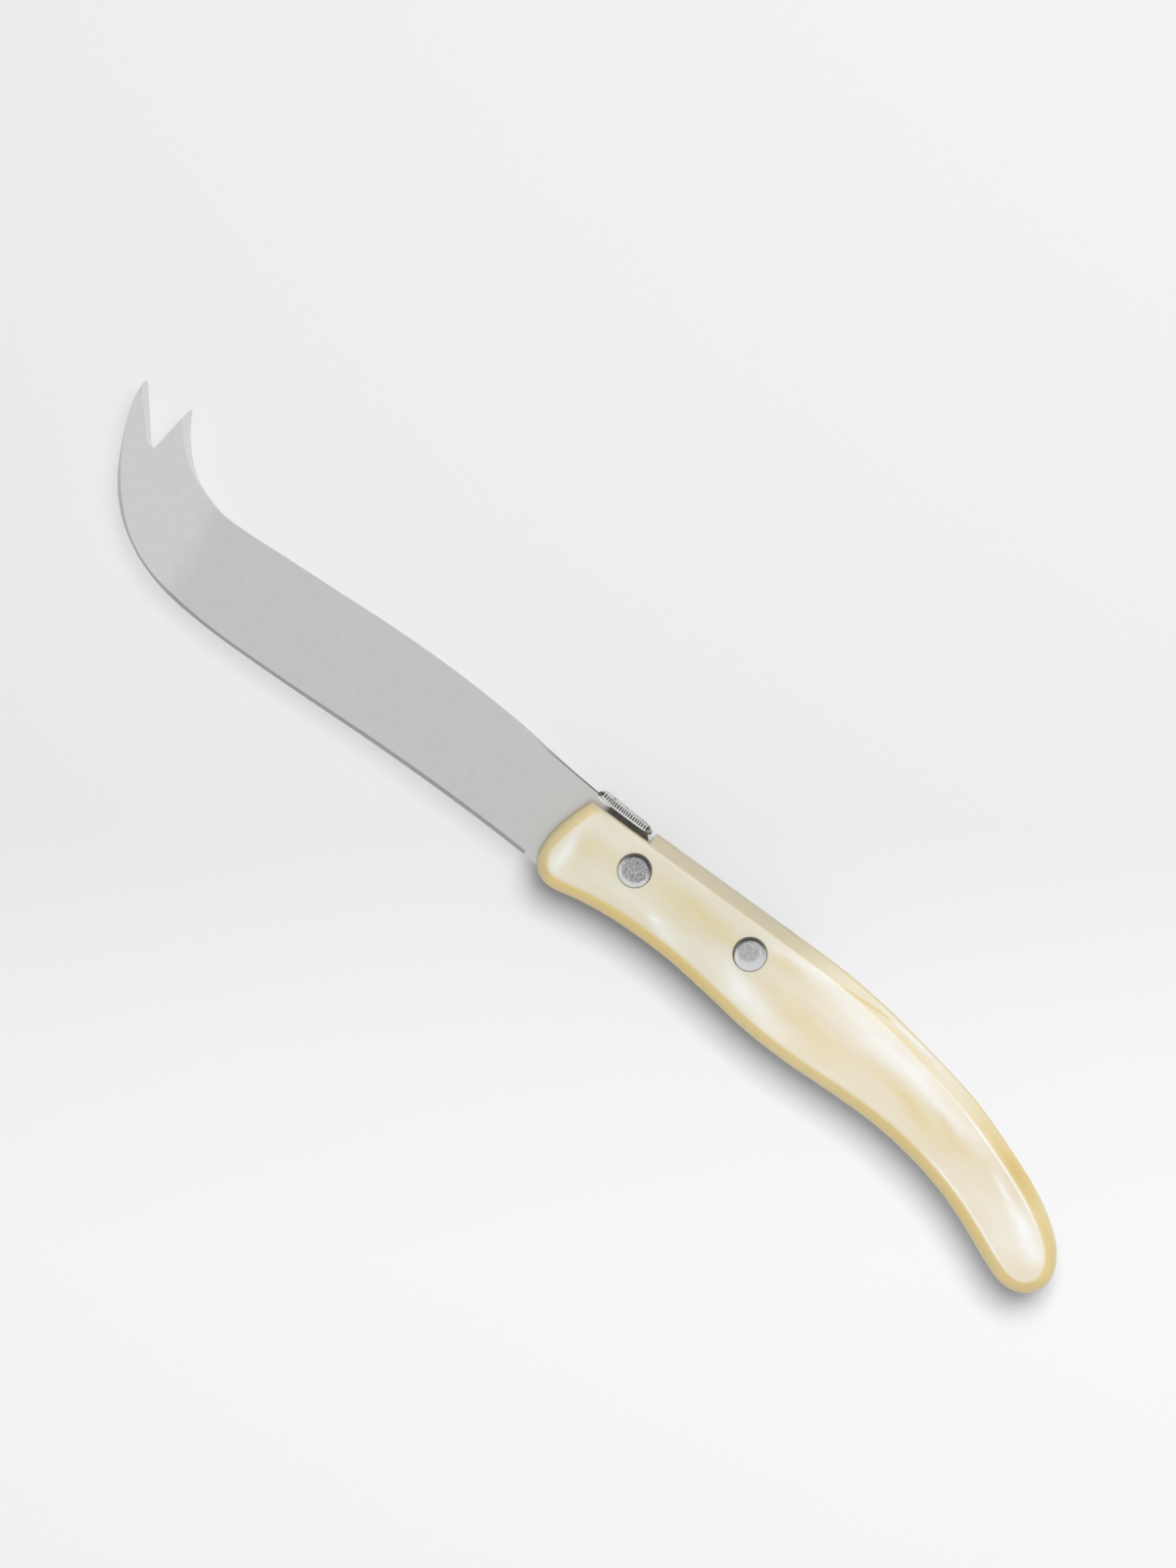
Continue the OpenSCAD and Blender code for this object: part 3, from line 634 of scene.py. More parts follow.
def pearl_acrylic(name, clouds, edges, seed):
    """Pearl-filled acrylic sheet with its own clouds and its own piece of the pattern, with painted
    highlights and painted shade.
    """
    material, tree, out = new_material(name)
    spot = spot_in_mm(tree)
    sway = add_node(tree, "ShaderNodeTexNoise", {"Vector": spot, "Scale": 0.1, "Detail": 1})
    sway = add_node(tree, "ShaderNodeVectorMath", {0: sway.outputs["Color"], 1: (0.5, 0.5, 0.5)},
                    operation="SUBTRACT").outputs[0]
    bent = add_node(tree, "ShaderNodeVectorMath", {0: sway, 1: (SWAY, SWAY, SWAY), 2: spot},
                    operation="MULTIPLY_ADD").outputs[0]
    place = add_node(tree, "ShaderNodeSeparateXYZ", {0: spot}).outputs
    normal = add_node(tree, "ShaderNodeNewGeometry").outputs["Normal"]
    facing = add_node(tree, "ShaderNodeSeparateXYZ", {0: normal}).outputs
    up = add_node(tree, "ShaderNodeMath", {0: facing["Z"]}, operation="ABSOLUTE").outputs[0]
    measured = {"x": place["X"], "y": place["Y"], "up": up, "to_spine": facing["Y"]}
    on = {part: mask(tree, *[(measured[what], start, end) for what, start, end in steps])
          for part, steps in MASKS.items()}

    pattern = pearl_pattern(tree, bent, seed)
    pearl = add_clouds(tree, pattern, bent, clouds)
    pearl = add_node(tree, "ShaderNodeMath", {0: pearl, 1: PEARL_MIDDLE}, operation="ADD").outputs[0]
    # A painted highlight along the fillet near the butt
    pearl = add_node(tree, "ShaderNodeMath", {0: on["fillet_painted_highlight"], 1: FILLET_PAINTED_HIGHLIGHT, 2: pearl},
                     operation="MULTIPLY_ADD").outputs[0]
    resin = add_node(tree, "ShaderNodeMath", {0: pattern, 1: 0.5, 2: RESIN_MIDDLE},
                     operation="MULTIPLY_ADD").outputs[0]
    resin = add_clouds(tree, resin, spot, edges)
    # Darker and greyer along the front of the spine and at the front end
    greyed = add_node(tree, "ShaderNodeMath", {
        0: on["front_end_grey"], 1: FRONT_END_GREY_SHARE, 2: on["front_spine_grey"]}, operation="MULTIPLY_ADD",
        use_clamp=True).outputs[0]
    greyed = add_node(tree, "ShaderNodeMath", {0: greyed, 1: FRONT_GREY_SHARE}, operation="MULTIPLY").outputs[0]

    resin_tone = ramp(tree, resin, RESIN_STOPS, smooth=False)
    # A painted shade on the inner part of the spine bevel
    resin_tone = lay_over(tree, resin_tone, (on["spine_bevel_painted_shade"], linear(SPINE_BEVEL_PAINTED_SHADE)), way="MULTIPLY")
    pearl_tone = ramp(tree, pearl, PEARL_STOPS, smooth=False)
    # A painted shade over the front of the flank
    pearl_tone = lay_over(tree, pearl_tone, (on["front_painted_shade"], linear(FRONT_PAINTED_SHADE)), way="MULTIPLY")
    colour = lay_over(tree, resin_tone, (greyed, linear(FRONT_GREY)), (on["flank"], pearl_tone))
    gloss = add_node(tree, "ShaderNodeMapRange", {
        "Value": up, "From Min": 0.1, "From Max": 0.5, "To Min": WALL_ROUGH,
        "To Max": FLANK_ROUGH}).outputs[0]
    skin = add_node(tree, "ShaderNodeBsdfPrincipled", {
        "Base Color": colour, "Roughness": gloss, "IOR": ACRYLIC_IOR, "Subsurface Weight": 0.3,
        "Subsurface Scale": MM, "Subsurface Radius": (1.8, 1.4, 0.9)})
    tree.links.new(skin.outputs["BSDF"], out.inputs["Surface"])
    return material


# %% Finish both scales
finish_piece(left_skin, pearl_acrylic("pearl_acrylic_upper", upper_clouds, edge_clouds_and_painted_light, 3.0),
             "pearl_acrylic", "left_scale")
lower_clouds = [(HANDLE_LENGTH - x, y - 6 + 0.09 * x, a, b, -t, s)
                for x, y, a, b, t, s in upper_clouds[4:12]]
finish_piece(right_skin, pearl_acrylic("pearl_acrylic_lower", lower_clouds, edge_clouds_and_painted_light[:1], 17.0),
             "pearl_acrylic", "right_scale")

# %% [markdown]
# The scales join the two groups of the lamps. Their cream colour would tint the paper beside them,
# and the paper in the photo is neutral, so they don't bounce light onto it.

# %% Light groups
for skin in (left_skin, right_skin):
    handle_blocks.objects.link(skin)
    handle_only.objects.link(skin)
    skin.visible_diffuse = False

# %% [markdown]
# ## Rivets
# Each rivet is one steel pin through both scales and the tang. Its ends were spread with a punch,
# which was never held quite in the middle: the dish sits to one side, with a steep wall there and a
# smooth bright crescent opposite. The profile is turned on a lathe here, the dish is pushed aside,
# and the floor's vertices go up and down by noise at about the grain of the punch.

# %% Turned rivets
DISH_DEPTH, DISH_EDGE, RIM_INNER = 0.2, 2.2, 2.95
RIM = [(3.03, 0.0), (3.09, -0.012), (3.13, -0.04), (RIVET_R, -0.1)]
FLOOR_GRAIN, FLOOR_ROUGH = 0.35, 0.03


def turned_rivet(name, x, aside, seed):
    """A rivet with a dished, pitted floor at both ends, pushed aside by (x, y) in millimetres."""
    profile = [(r, -DISH_DEPTH) for r in np.linspace(0.1, DISH_EDGE, 22)]
    profile += [(DISH_EDGE + (RIM_INNER - DISH_EDGE) * t, -DISH_DEPTH * (1 - t * t * (3 - 2 * t)))
                for t in np.linspace(0.1, 1, 9)]
    profile += RIM
    rings = [(r, -1, z) for r, z in profile] + [(r, 1, z) for r, z in profile[::-1]]
    points = []
    for r, end, z in rings:
        push = min(1.0, max(0.0, (RIM_INNER - r) / (RIM_INNER - DISH_EDGE)))
        for px, py in circle(x, RIVET_Y, r):
            at = Vector((px, py, seed)) / FLOOR_GRAIN
            grain = noise.noise(at) + 0.5 * noise.noise(at * 2.3)
            dip = min(FLOOR_ROUGH * (grain - 0.4) * push, 0.0)
            points.append((px + aside[0] * push, py + aside[1] * push, end * (HALF_HANDLE + z + dip)))
    return new_piece(name, points, closed_faces(len(rings), ROUND), sharp=40)


print("a dish is", DISH_DEPTH, "mm deep")

# %% [markdown]
# ### Punched steel
# The punch left the floor matt and mottled in clumps of about a quarter of a millimetre. A dark
# crescent is painted against the steep side of the dish, a painted shade where the wall hides the
# light, the rest of the face is bare and light, and a dark seam runs round the rivet.

# %% Rivet steel
CLUMP = 0.28
FLOOR_FADE = 0.3
RIVET_FACE, CRESCENT_PAINTED_SHADE, SEAM_DIRT = "#D0D2D2", "#4C484A", "#5A5654"
# How far the crescent's middle lies from the rivet's own, and where crescent and seam start and are full
CRESCENT_SHIFT, CRESCENT_FROM, CRESCENT_TO = -0.6, 2.75, 3.15
SEAM_FROM, SEAM_TO = 2.98, 3.1


def punched_steel(name, x, aside, floor_radius, floor_shift, floor_share):
    """Bare steel with a mottled floor and a painted shade crescent, both towards one side of the rivet."""
    material, tree, out = new_material(name)
    spot = spot_in_mm(tree)
    grain = add_node(tree, "ShaderNodeTexNoise", {
        "Vector": spot, "Scale": 1 / CLUMP, "Detail": 4, "Roughness": 0.65}).outputs["Fac"]
    ragged = add_node(tree, "ShaderNodeMath", {0: grain, 1: 1.2, 2: -0.6},
                      operation="MULTIPLY_ADD").outputs[0]
    heading = Vector((*aside, 0)).normalized()

    def reach_from(shift):
        """Plain and ragged distance from a middle that is shifted towards the steep side."""
        middle = Vector((x, RIVET_Y, 0)) + heading * shift
        off = add_node(tree, "ShaderNodeVectorMath", {0: spot, 1: middle}, operation="SUBTRACT").outputs[0]
        flat = add_node(tree, "ShaderNodeVectorMath", {0: off, 1: (1, 1, 0)}, operation="MULTIPLY")
        away = add_node(tree, "ShaderNodeVectorMath", {0: flat.outputs[0]}, operation="LENGTH")
        away = away.outputs["Value"]
        return away, add_node(tree, "ShaderNodeMath", {0: away, 1: ragged}, operation="ADD").outputs[0]

    on_floor = mask(tree, (reach_from(floor_shift)[1], floor_radius + FLOOR_FADE,
                           floor_radius - FLOOR_FADE))
    mottled_part = add_node(tree, "ShaderNodeMath", {0: on_floor, 1: floor_share}, operation="MULTIPLY")
    # A dark crescent against the steep side of the dish: painted shade
    in_painted_shade_crescent = mask(tree, (reach_from(CRESCENT_SHIFT)[1], CRESCENT_FROM, CRESCENT_TO), strength=0.8)
    in_seam = mask(tree, (reach_from(0)[0], SEAM_FROM, SEAM_TO), strength=0.75)
    mottled = ramp(tree, grain, [(0.4, "#7E7C7E"), (0.5, "#A9A8A8"), (0.62, "#C6C6C6")])
    tone = lay_over(tree, linear(RIVET_FACE), (mottled_part.outputs[0], mottled),
                    (in_painted_shade_crescent, linear(CRESCENT_PAINTED_SHADE)), (in_seam, linear(SEAM_DIRT)))
    gloss = add_node(tree, "ShaderNodeMapRange", {
        "Value": on_floor, "To Min": 0.3, "To Max": 0.45}).outputs[0]
    bump = add_node(tree, "ShaderNodeBump", {"Height": grain, "Strength": 0.4, "Distance": CLUMP * MM / 8})
    skin = add_node(tree, "ShaderNodeBsdfPrincipled", {
        "Base Color": tone, "Metallic": 1.0, "Roughness": gloss, "Normal": bump.outputs["Normal"]})
    tree.links.new(skin.outputs["BSDF"], out.inputs["Surface"])
    return material


# %% Make both rivets
# Name, place, how far the dish is pushed aside, seed, and the mottled floor's radius, shift and share
for name, x, aside, seed, *floor in (("front_rivet", RIVET_X, (-0.05, 0.36), 1.0, 2.5, 0.32, 1.0),
                                     ("rear_rivet", REAR_RIVET_X, (-0.3, 0.24), 9.0, 2.0, 0.7, 0.6)):
    rivet_steel = punched_steel(name + "_punched_steel", x, aside, *floor)
    finish_piece(turned_rivet(name + "_turned", x, aside, seed), rivet_steel, "rivet_metal", name)

# %% [markdown]
# ## Blade
# The blade is punched from 2 mm stainless sheet, ground flat from the spine to the edge, and ground
# once more where it turns up into the fork. The foot between the scales keeps its full thickness, so
# the flat grind stops just before the handle. The last cuts are bevels: the sharpened edge, the notch
# side of the outer prong and the spine side of the inner one. Here the same cuts are made with closed
# tools in the same order, so each bevel ends where its two surfaces really meet. Both sides are cut
# alike.

# %% Outline of the blade
BLADE_LENGTH, BLADE_HEIGHT, STEEL, EDGE = 108.3, 19.4, 2.0, 0.5
LUG_HEIGHT, HEAD_LIFT = 1.1, 0.5
SEAT_Y = NOTCH_FLOOR + LUG_HEIGHT
BEE_X, BEE_LENGTH, HEAD_SHARE = 2.7, 12.2, 0.29
blade_size = np.array([-BLADE_LENGTH, BLADE_HEIGHT])
back = [(0.052, 0.43), (0.131, 0.484), (0.21, 0.513), (0.305, 0.528), (0.415, 0.518), (0.526, 0.485),
        (0.628, 0.456), (0.711, 0.43), (0.766, 0.438), (0.815, 0.526), (0.844, 0.624), (0.866, 0.742),
        (0.884, 0.861), (0.898, 0.985)]
edge = [(0.9985, 0.925), (0.994, 0.775), (0.98, 0.56), (0.963, 0.35), (0.944, 0.16), (0.921, -0.01),
        (0.893, -0.16), (0.859, -0.287), (0.82, -0.389), (0.773, -0.464), (0.718, -0.505), (0.646, -0.523),
        (0.554, -0.518), (0.447, -0.50), (0.35, -0.48), (0.25, -0.469), (0.15, -0.469), (0.06, -0.479)]
inner_tip, fork_notch, outer_tip = np.array([(0.908, 1.09), (0.92, 0.518), (1, 1.072)]) * blade_size
INNER_R, NOTCH_R, OUTER_R = 0.3, 0.5, 0.45
spine_end = np.array([[BEE_X - GLUE, SEAT_Y + 1.6 * HEAD_LIFT]])
back_path = smooth_curve(np.vstack([spine_end, np.array(back) * blade_size]))
edge_path = smooth_curve(np.vstack([np.array(edge) * blade_size, [[HEEL_X, HEEL_Y]]]))
inner_arc = corner_arc(back_path[-1], inner_tip, fork_notch, INNER_R)
notch_arc = corner_arc(inner_tip, fork_notch, outer_tip, NOTCH_R)
outer_arc = corner_arc(fork_notch, outer_tip, edge_path[0], OUTER_R)
a = np.radians(np.linspace(-90, 90, 25))
tang_arc = np.stack([TANG_END - TANG_R + TANG_R * np.cos(a), TANG_R * np.sin(a)], axis=1)
seat_front = BEE_X + HEAD_SHARE * BEE_LENGTH
nose_end, nose_y = BEE_X + 0.04 * BEE_LENGTH, SEAT_Y + 0.35
a = np.linspace(0, math.pi, 17)
hollow = np.stack([seat_front + (nose_end - seat_front) * (1 - np.cos(a)) / 2,
                   SEAT_Y - 0.3 * LUG_HEIGHT * np.sin(a)], axis=1)
lug = [(LUG_REAR, TANG_R), (LUG_REAR, NOTCH_FLOOR), (BEE_X + 0.96 * BEE_LENGTH, SEAT_Y)]
blade_outline = np.vstack([back_path, inner_arc, notch_arc, outer_arc, edge_path, [[HEEL_X, -TANG_R]],
                           tang_arc, lug, hollow, [(nose_end, nose_y), (spine_end[0][0], nose_y)]])
print("blade outline has", len(blade_outline), "points")

# %% Grinding tools
THICK_Y = 0.53 * BLADE_HEIGHT
GRIND = (STEEL - EDGE) / 2 / BLADE_HEIGHT
FORK_X, FORK_LEAN, FORK_TAPER = -0.76 * BLADE_LENGTH, math.radians(8), 0.02
FAR_TIP, FAR_DOWN, FAR_UP = -112, -13, 25
PLUNGE_GAP = 0.2
TOOL_TOP, BEVEL_TOP = 4.0, 1.4


def closed(name, points, faces):
    """A closed tool for the upper side and its mirror image for the lower side."""
    pair = [new_piece(name, points, faces)]
    pair.append(new_piece(name, [(x, y, -z) for x, y, z in points], [f[::-1] for f in faces]))
    return pair


def wheel_over(reach, height_at):
    """What a wheel takes off over a sloping plane, within an anticlockwise outline."""
    points = [(x, y, height_at(x, y)) for x, y in reach] + [(x, y, TOOL_TOP) for x, y in reach]
    n = len(reach)
    return closed("wheel", points, [tuple(range(n))[::-1], tuple(range(n, 2 * n)), *band_faces(2, n)])


def flat_grind(x, y):
    return HALF_STEEL - GRIND * (THICK_Y - y)


def fork_grind(x, y):
    return flat_grind(x, y) + FORK_TAPER * (math.cos(FORK_LEAN) * (x - FORK_X) + math.sin(FORK_LEAN) * y)


def bevel_tool(path, keep, degrees):
    """A bevel along a path that has the steel on its left, leaving the given half thickness."""
    along = unit(np.gradient(path, axis=0))
    into = np.stack([-along[:, 1], along[:, 0]], axis=1)
    slope = math.tan(math.radians(degrees))
    points = []
    for p, n, k in zip(path, into, keep):
        near, far = p - n, p + n * (BEVEL_TOP - k) / slope
        points += [(*near, k - slope), (*near, BEVEL_TOP), (*far, BEVEL_TOP)]
    last = 3 * len(path) - 3
    faces = [(i + 3 + j, i + 3 + (j + 1) % 3, i + (j + 1) % 3, i + j)
             for i in range(0, last, 3) for j in range(3)]
    return closed("bevel_wheel", points, [(0, 1, 2), (last + 2, last + 1, last), *faces])


def ease(start, end, t):
    t = np.clip(t, 0, 1)
    return start + (end - start) * t * t * (3 - 2 * t)


print("the flat grind leans", round(math.degrees(math.atan(GRIND)), 2), "degrees")

# %% Cut the blade
EDGE_ANGLE, PRONG_ANGLE = 17, 25
blade = prism("blade_ground", blade_outline, -HALF_STEEL, HALF_STEEL)
whole = edge_path[edge_path[:, 0] < -1.5]
whole = np.vstack([outer_arc[-1] + unit(outer_arc[-1] - edge_path[0]) * OUTER_R, whole])
edge_keep = ease(0.38 * STEEL, 0.05, 3 * np.arange(len(whole)) / len(whole))
side = unit(outer_arc[0] - notch_arc[-1])
notch_side = np.vstack([notch_arc[-1], outer_arc[0] + side * OUTER_R])
prong = back_path[8 * FINE_STEPS:]
prong = np.vstack([prong, inner_arc[0] + unit(inner_arc[0] - prong[-1]) * INNER_R])
prong_keep = ease(HALF_STEEL, 0.13 * STEEL, np.arange(len(prong)) / (len(prong) - 1))
n_front = 5 * FINE_STEPS
front_run = np.r_[n_front:-1:-1, len(handle_ring) - 1:len(handle_path) - 1:-1]
before_handle = (handle_ring - PLUNGE_GAP * handle_in)[front_run]
flat_reach = [(FAR_TIP, THICK_Y), (FAR_TIP, FAR_DOWN), (before_handle[0][0], FAR_DOWN), *before_handle,
              (before_handle[-1][0], THICK_Y)]
fork_reach = [(FAR_TIP, FAR_UP), (FAR_TIP, FAR_DOWN), (-60, FAR_DOWN), (-60, FAR_UP)]
tools = (wheel_over(flat_reach, flat_grind) + wheel_over(fork_reach, fork_grind)
         + bevel_tool(whole, edge_keep, EDGE_ANGLE)
         + bevel_tool(notch_side, [0.17 * STEEL] * 2, PRONG_ANGLE)
         + bevel_tool(prong, prong_keep, PRONG_ANGLE)
         + [prism("drill", circle(x, RIVET_Y, HOLE_R), -2, 2) for x in (RIVET_X, REAR_RIVET_X)])
cut_away(blade, tools, sharp=6)
print("blade cut:", len(blade.data.polygons), "faces")

# %% [markdown]
# ### Satin steel
# Knife steel is a stainless chromium steel. The big sides were polished on a felt wheel to a soft
# satin, so they reflect the room without a sharp picture. The fork was ground once more and is a
# little lighter. The steel under the bee is painted dark and not metallic, a painted shade under the
# bee, and a dark line is painted along the spine just before it.

# %% Blade steel
POLISH_LENGTH, POLISH_WIDTH = 9.0, 0.35
FORK_FADE = 3
# Painted shade on the steel under the bee: above this height, and fading in between these two places along
# x
UNDER_BEE_LOW, UNDER_BEE_FROM, UNDER_BEE_TO = 4.6, 4.5, 6.5
# The dark line along the spine lies above a slanting line, y + 0.08 x, and fades out towards the fork
LINE_SLANT, LINE_FROM, LINE_TO, LINE_SHARE = 0.08, 7.58, 7.76, 0.85
DARK_SPINE_LINE_TONE = "#5A5654"
blade_steel, tree, out = new_material("satin_stainless_steel")
spot = spot_in_mm(tree)
place = add_node(tree, "ShaderNodeSeparateXYZ", {0: spot}).outputs
lines = add_node(tree, "ShaderNodeMapping", {
    "Vector": spot, "Scale": (1 / POLISH_LENGTH, 1 / POLISH_WIDTH, 1 / POLISH_WIDTH)}).outputs[0]
polish = add_node(tree, "ShaderNodeTexNoise", {"Vector": lines, "Scale": 1.0, "Detail": 3}).outputs["Fac"]
mottle = add_node(tree, "ShaderNodeTexNoise", {
    "Vector": spot, "Scale": 0.6, "Detail": 4, "Roughness": 0.7}).outputs["Fac"]
along_fork = add_node(tree, "ShaderNodeVectorMath", {
    0: spot, 1: (math.cos(FORK_LEAN), math.sin(FORK_LEAN), 0)}, operation="DOT_PRODUCT").outputs["Value"]
on_fork = mask(tree, (along_fork, FORK_X + FORK_FADE, FORK_X - FORK_FADE))
# The painted shade under the bee
high = add_node(tree, "ShaderNodeMath", {0: place["Y"], 1: UNDER_BEE_LOW}, operation="GREATER_THAN").outputs[0]
shade_under_bee = mask(tree, (place["X"], UNDER_BEE_FROM, UNDER_BEE_TO), strength=high)
under_spine = add_node(tree, "ShaderNodeMath", {0: place["X"], 1: LINE_SLANT, 2: place["Y"]},
                       operation="MULTIPLY_ADD").outputs[0]
# A dark line painted along the spine just before the bee
dark_spine_line = mask(tree, (under_spine, LINE_FROM, LINE_TO), (place["X"], -12, -5), strength=LINE_SHARE)
tone = ramp(tree, mottle, [(0.35, "#C5C5C3"), (0.65, "#C8C8C6")])
fork_tone = ramp(tree, mottle, [(0.35, "#CFCFCD"), (0.65, "#D2D2D0")])
shade_under_bee_tone = ramp(tree, mottle, [(0.3, "#2E2A28"), (0.7, "#4A423D")])
tone = lay_over(tree, tone, (on_fork, fork_tone), (shade_under_bee, shade_under_bee_tone), (dark_spine_line, linear(DARK_SPINE_LINE_TONE)))
gloss = add_node(tree, "ShaderNodeMapRange", {
    "Value": polish, "From Min": 0.3, "From Max": 0.7, "To Min": 0.28, "To Max": 0.3}).outputs[0]
bump = add_node(tree, "ShaderNodeBump", {"Height": polish, "Strength": 0.02, "Distance": 0.006 * MM})
# Where the painted shade under the bee lies, the steel is not metallic
metal = add_node(tree, "ShaderNodeMath", {0: 1.0, 1: shade_under_bee}, operation="SUBTRACT").outputs[0]
skin = add_node(tree, "ShaderNodeBsdfPrincipled", {
    "Base Color": tone, "Metallic": metal, "Roughness": gloss, "Normal": bump.outputs["Normal"]})
tree.links.new(skin.outputs["BSDF"], out.inputs["Surface"])
finish_piece(blade, blade_steel, "blade_steel", "blade")

# %% [markdown]
# ## Bee
# The bee is cast and then chased with a graver. From above it has a round head with two eyes, a
# thorax, a ringed abdomen and two folded wings. From the side it shows a thin bright rim, a band of
# short cuts above the rim, and a smooth back. It is one closed skin here: a sheet of points over the
# bee's plan gives the top, a second sheet the underside, and both meet at the rim. The height of the
# back along the bee was read off its outline against the paper.

# %% Bee form
BEE_HALF_WIDTH, BEE_PLATE = 2.8, 0.4
BEE_ROWS, BEE_COLUMNS = 240, 96
CUT_SPACING, CUT_DEPTH = 0.5, 0.12
plan = [(0, 0), (0.02, 0.26), (0.09, 0.44), (0.2, 0.46), (0.27, 0.4), (0.36, 0.56), (0.5, 0.84), (0.66, 1),
        (0.8, 0.96), (0.9, 0.72), (0.97, 0.42), (1, 0)]
plan_curve = smooth_curve(np.array(plan) * (BEE_LENGTH, BEE_HALF_WIDTH), 24)
back_line = smooth_curve([(0, 0.98), (0.5, 1.5), (1.3, 1.85), (2.6, 1.9), (4.0, 1.88), (5.4, 1.78),
                          (7.0, 1.66), (8.6, 1.58), (10.0, 1.53), (11.0, 1.4), (11.8, 1.1),
                          (BEE_LENGTH, 0.75)], 12)
# Places along the bee in mm from its head: eyes, neck, waist, start of the wings and of the rings
EYE_AT, NECK_AT, WAIST_AT, WINGS_AT, RINGS_AT = 1.25, 3.2, 5.9, 5.6, 6.6
EYE_ASIDE, EYE_HEIGHT = 0.78, 0.16
WING_SPREAD, RING_SPACING, VEIN_SPACING = 0.16, 0.85, 0.62


def ramp_up(value, start, end):
    """A straight step from 0 to 1 while a value goes from start to end."""
    return np.clip((value - start) / (end - start), 0, 1)


def groove(distance, half_width):
    return np.exp(-(distance / half_width) ** 2)


def bee_top(s, w, t, lift):
    """Height of the bee's upper skin over its seat, and how deep each point lies in a cut."""
    side, aside = np.abs(t), np.abs(w)
    ridge = np.interp(s, back_line[:, 0], back_line[:, 1])
    rim = lift + BEE_PLATE * ramp_up(side, 1, 0.95) ** 0.5
    shoulder = rim + 0.45 * (ridge - rim)
    wall = ramp_up(side, 0.93, 0.83)
    dome = np.clip(1 - (side / 0.86) ** 2, 0, 1) ** 0.5
    top = rim + (shoulder - rim) * wall + (ridge - shoulder) * dome
    on_eye = 1 - ((s - EYE_AT) / 0.6) ** 2 - ((aside - EYE_ASIDE) / 0.36) ** 2
    eyes = EYE_HEIGHT * np.clip(on_eye, 0, 1) ** 0.5

    wing_line = WING_SPREAD * (s - WINGS_AT)
    wing_fold = groove(aside - 0.3 - wing_line, 0.13) * ramp_up(s, 5.4, 6.4) * (side < 0.84)
    rings = groove((s - RINGS_AT) % RING_SPACING - 0.42, 0.12) * (aside < 0.3 + wing_line)
    rings = rings * ramp_up(s, 6.4, 6.9)
    veins = groove((aside - 0.35 * (s - 5.0)) % VEIN_SPACING - VEIN_SPACING / 2, 0.08)
    veins = veins * ramp_up(s, 6.0, 7.0) * (side < 0.8) * (aside > 0.5 + wing_line)
    neck = groove(s - NECK_AT, 0.2) + 0.7 * groove(s - WAIST_AT, 0.2) * (aside < 1.5)
    band = ramp_up(side, 0.78, 0.82) * ramp_up(side, 0.95, 0.92)
    band = band * ramp_up(s, 0.5, 1.0) * ramp_up(s, 11.9, 11.4)
    cuts = 0.5 + 0.5 * np.cos(2 * math.pi * (s + 0.05 * np.sin(2.1 * s)) / CUT_SPACING)
    # Under the head the band near the rim is dipped and made darker, a painted shade beneath the head; at
    # the tail a small cut
    ends = 0.09 * groove(s - 0.5, 0.4) * (side > 0.72) + 0.06 * groove(s - 11.2, 0.2)
    dent = (CUT_DEPTH * cuts * band + 0.06 * neck * (side < 0.8) + 0.08 * wing_fold + 0.06 * rings
            + 0.04 * veins + ends)
    return top + eyes - dent * ramp_up(side, 1, 0.96), dent


print("the bee's back rises to", round(float(back_line[:, 1].max()), 2), "mm")

# %% Build the bee
grid_s = BEE_LENGTH * (0.5 - 0.5 * np.cos(np.linspace(0.012, 1 - 0.012, BEE_ROWS) * math.pi))
half_width = np.interp(grid_s, plan_curve[:, 0], plan_curve[:, 1])
grid_t = np.sin(np.linspace(-0.5, 0.5, BEE_COLUMNS) * math.pi)
S, T = np.meshgrid(grid_s, grid_t, indexing="ij")
W = T * half_width[:, None]
lift = HEAD_LIFT * np.clip(1 - S / (HEAD_SHARE * BEE_LENGTH), 0, 1)
top, dent = bee_top(S, W, T, lift)
BEE_TOP_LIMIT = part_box("bee")[1].y / MM - datum.y / MM - SEAT_Y
top = np.minimum(top, BEE_TOP_LIMIT)
under = lift + 0.06 * np.clip((np.abs(T) - 0.93) / 0.07, 0, 1) ** 2
top = np.maximum(top, under + 0.01)
bee_points = [(BEE_X + s, SEAT_Y + h, w) for s, w, h in zip(S.ravel(), W.ravel(), top.ravel())]
bee_points += [(BEE_X + s, SEAT_Y + h, w) for s, w, h in zip(S.ravel(), W.ravel(), under.ravel())]
bee_faces = []
m, layer = BEE_COLUMNS, BEE_ROWS * BEE_COLUMNS
for i in range(BEE_ROWS - 1):
    for j in range(m - 1):
        a, b, c, d = i * m + j, i * m + j + 1, (i + 1) * m + j + 1, (i + 1) * m + j
        bee_faces.append((a, b, c, d))
        bee_faces.append((d + layer, c + layer, b + layer, a + layer))
    for a, b in ((i * m, (i + 1) * m), ((i + 2) * m - 1, (i + 1) * m - 1)):
        bee_faces.append((a, b, b + layer, a + layer))
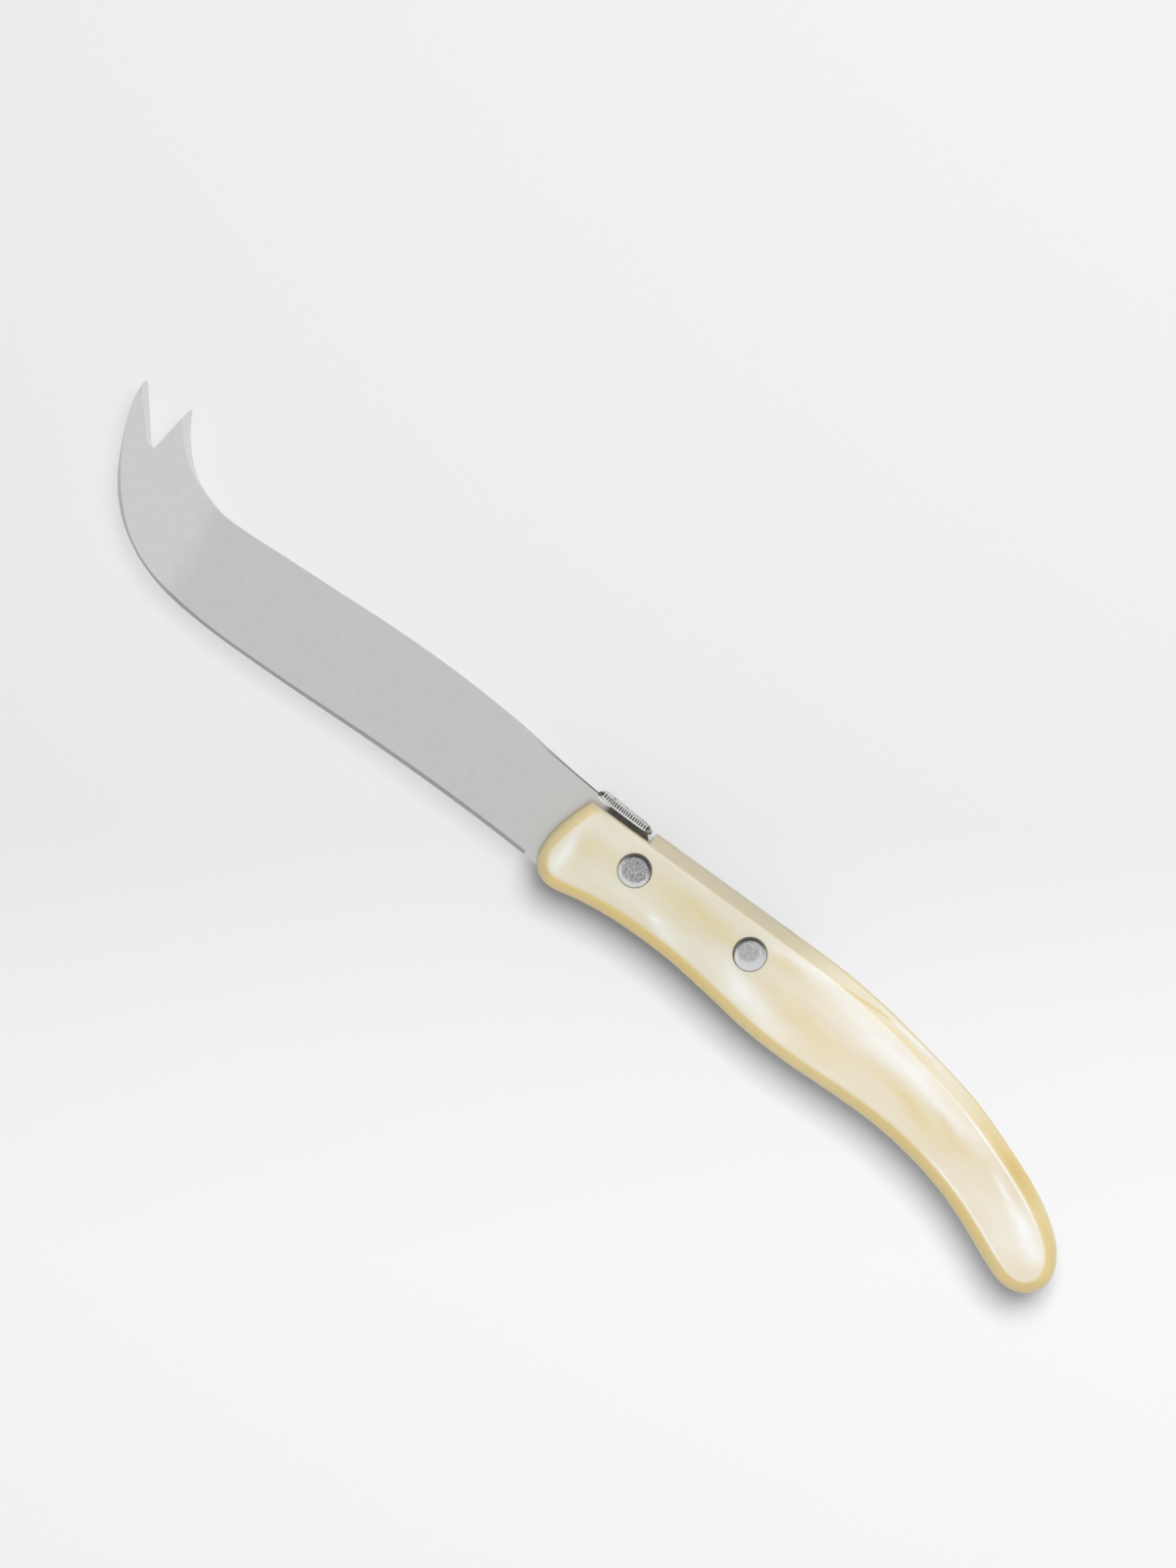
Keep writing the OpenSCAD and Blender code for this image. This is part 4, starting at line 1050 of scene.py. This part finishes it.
for row, flip in ((0, False), (BEE_ROWS - 1, True)):
    for j in range(m - 1):
        face = (row * m + j + 1, row * m + j, row * m + j + layer, row * m + j + 1 + layer)
        bee_faces.append(face[::-1] if flip else face)
bee = new_piece("bee_chased", bee_points, bee_faces, sharp=50)
depth = bee.data.attributes.new("cut_depth_and_shade", "FLOAT", "POINT")
# The underside gets a middle depth, so it is darker: painted shade under the bee
values = np.concatenate([dent.ravel() / CUT_DEPTH, np.full(layer, 0.4)]).astype(np.float32)
depth.data.foreach_set("value", values)
print("bee has", len(bee_faces), "faces")

# %% [markdown]
# ### Bright cast steel
# The bee is stainless steel too, cast, chased and then tumbled bright, so its high places are smooth
# and the cuts keep a dark patina. How deep each point lies in a cut was stored with the mesh, so the
# patina sits in the cuts themselves, and a little noise breaks it up. The same store also darkens the
# underside and the dip under the head: painted shade.

# %% Bee steel
PATINA_GRAIN = 0.5
bee_steel, tree, out = new_material("chased_steel")
spot = add_node(tree, "ShaderNodeTexCoord").outputs["Object"]
cut = add_node(tree, "ShaderNodeAttribute", attribute_name="cut_depth_and_shade").outputs["Fac"]
grain = add_node(tree, "ShaderNodeTexNoise", {
    "Vector": spot, "Scale": 1 / (PATINA_GRAIN * MM), "Detail": 4}).outputs["Fac"]
patina_and_shade = add_node(tree, "ShaderNodeMath", {0: grain, 1: 0.6, 2: -0.3}, operation="MULTIPLY_ADD").outputs[0]
patina_and_shade = add_node(tree, "ShaderNodeMath", {0: patina_and_shade, 1: cut}, operation="ADD").outputs[0]
tone = ramp(tree, patina_and_shade, [(0.1, "#D6D6D4"), (0.5, "#868481"), (0.95, "#3A3836")])
gloss = add_node(tree, "ShaderNodeMapRange", {"Value": patina_and_shade, "To Min": 0.4, "To Max": 0.6}).outputs[0]
bump = add_node(tree, "ShaderNodeBump", {"Height": grain, "Strength": 0.15, "Distance": 0.05 * MM})
skin = add_node(tree, "ShaderNodeBsdfPrincipled", {
    "Base Color": tone, "Metallic": 1.0, "Roughness": gloss, "Normal": bump.outputs["Normal"]})
tree.links.new(skin.outputs["BSDF"], out.inputs["Surface"])
finish_piece(bee, bee_steel, "bee_steel", "bee")
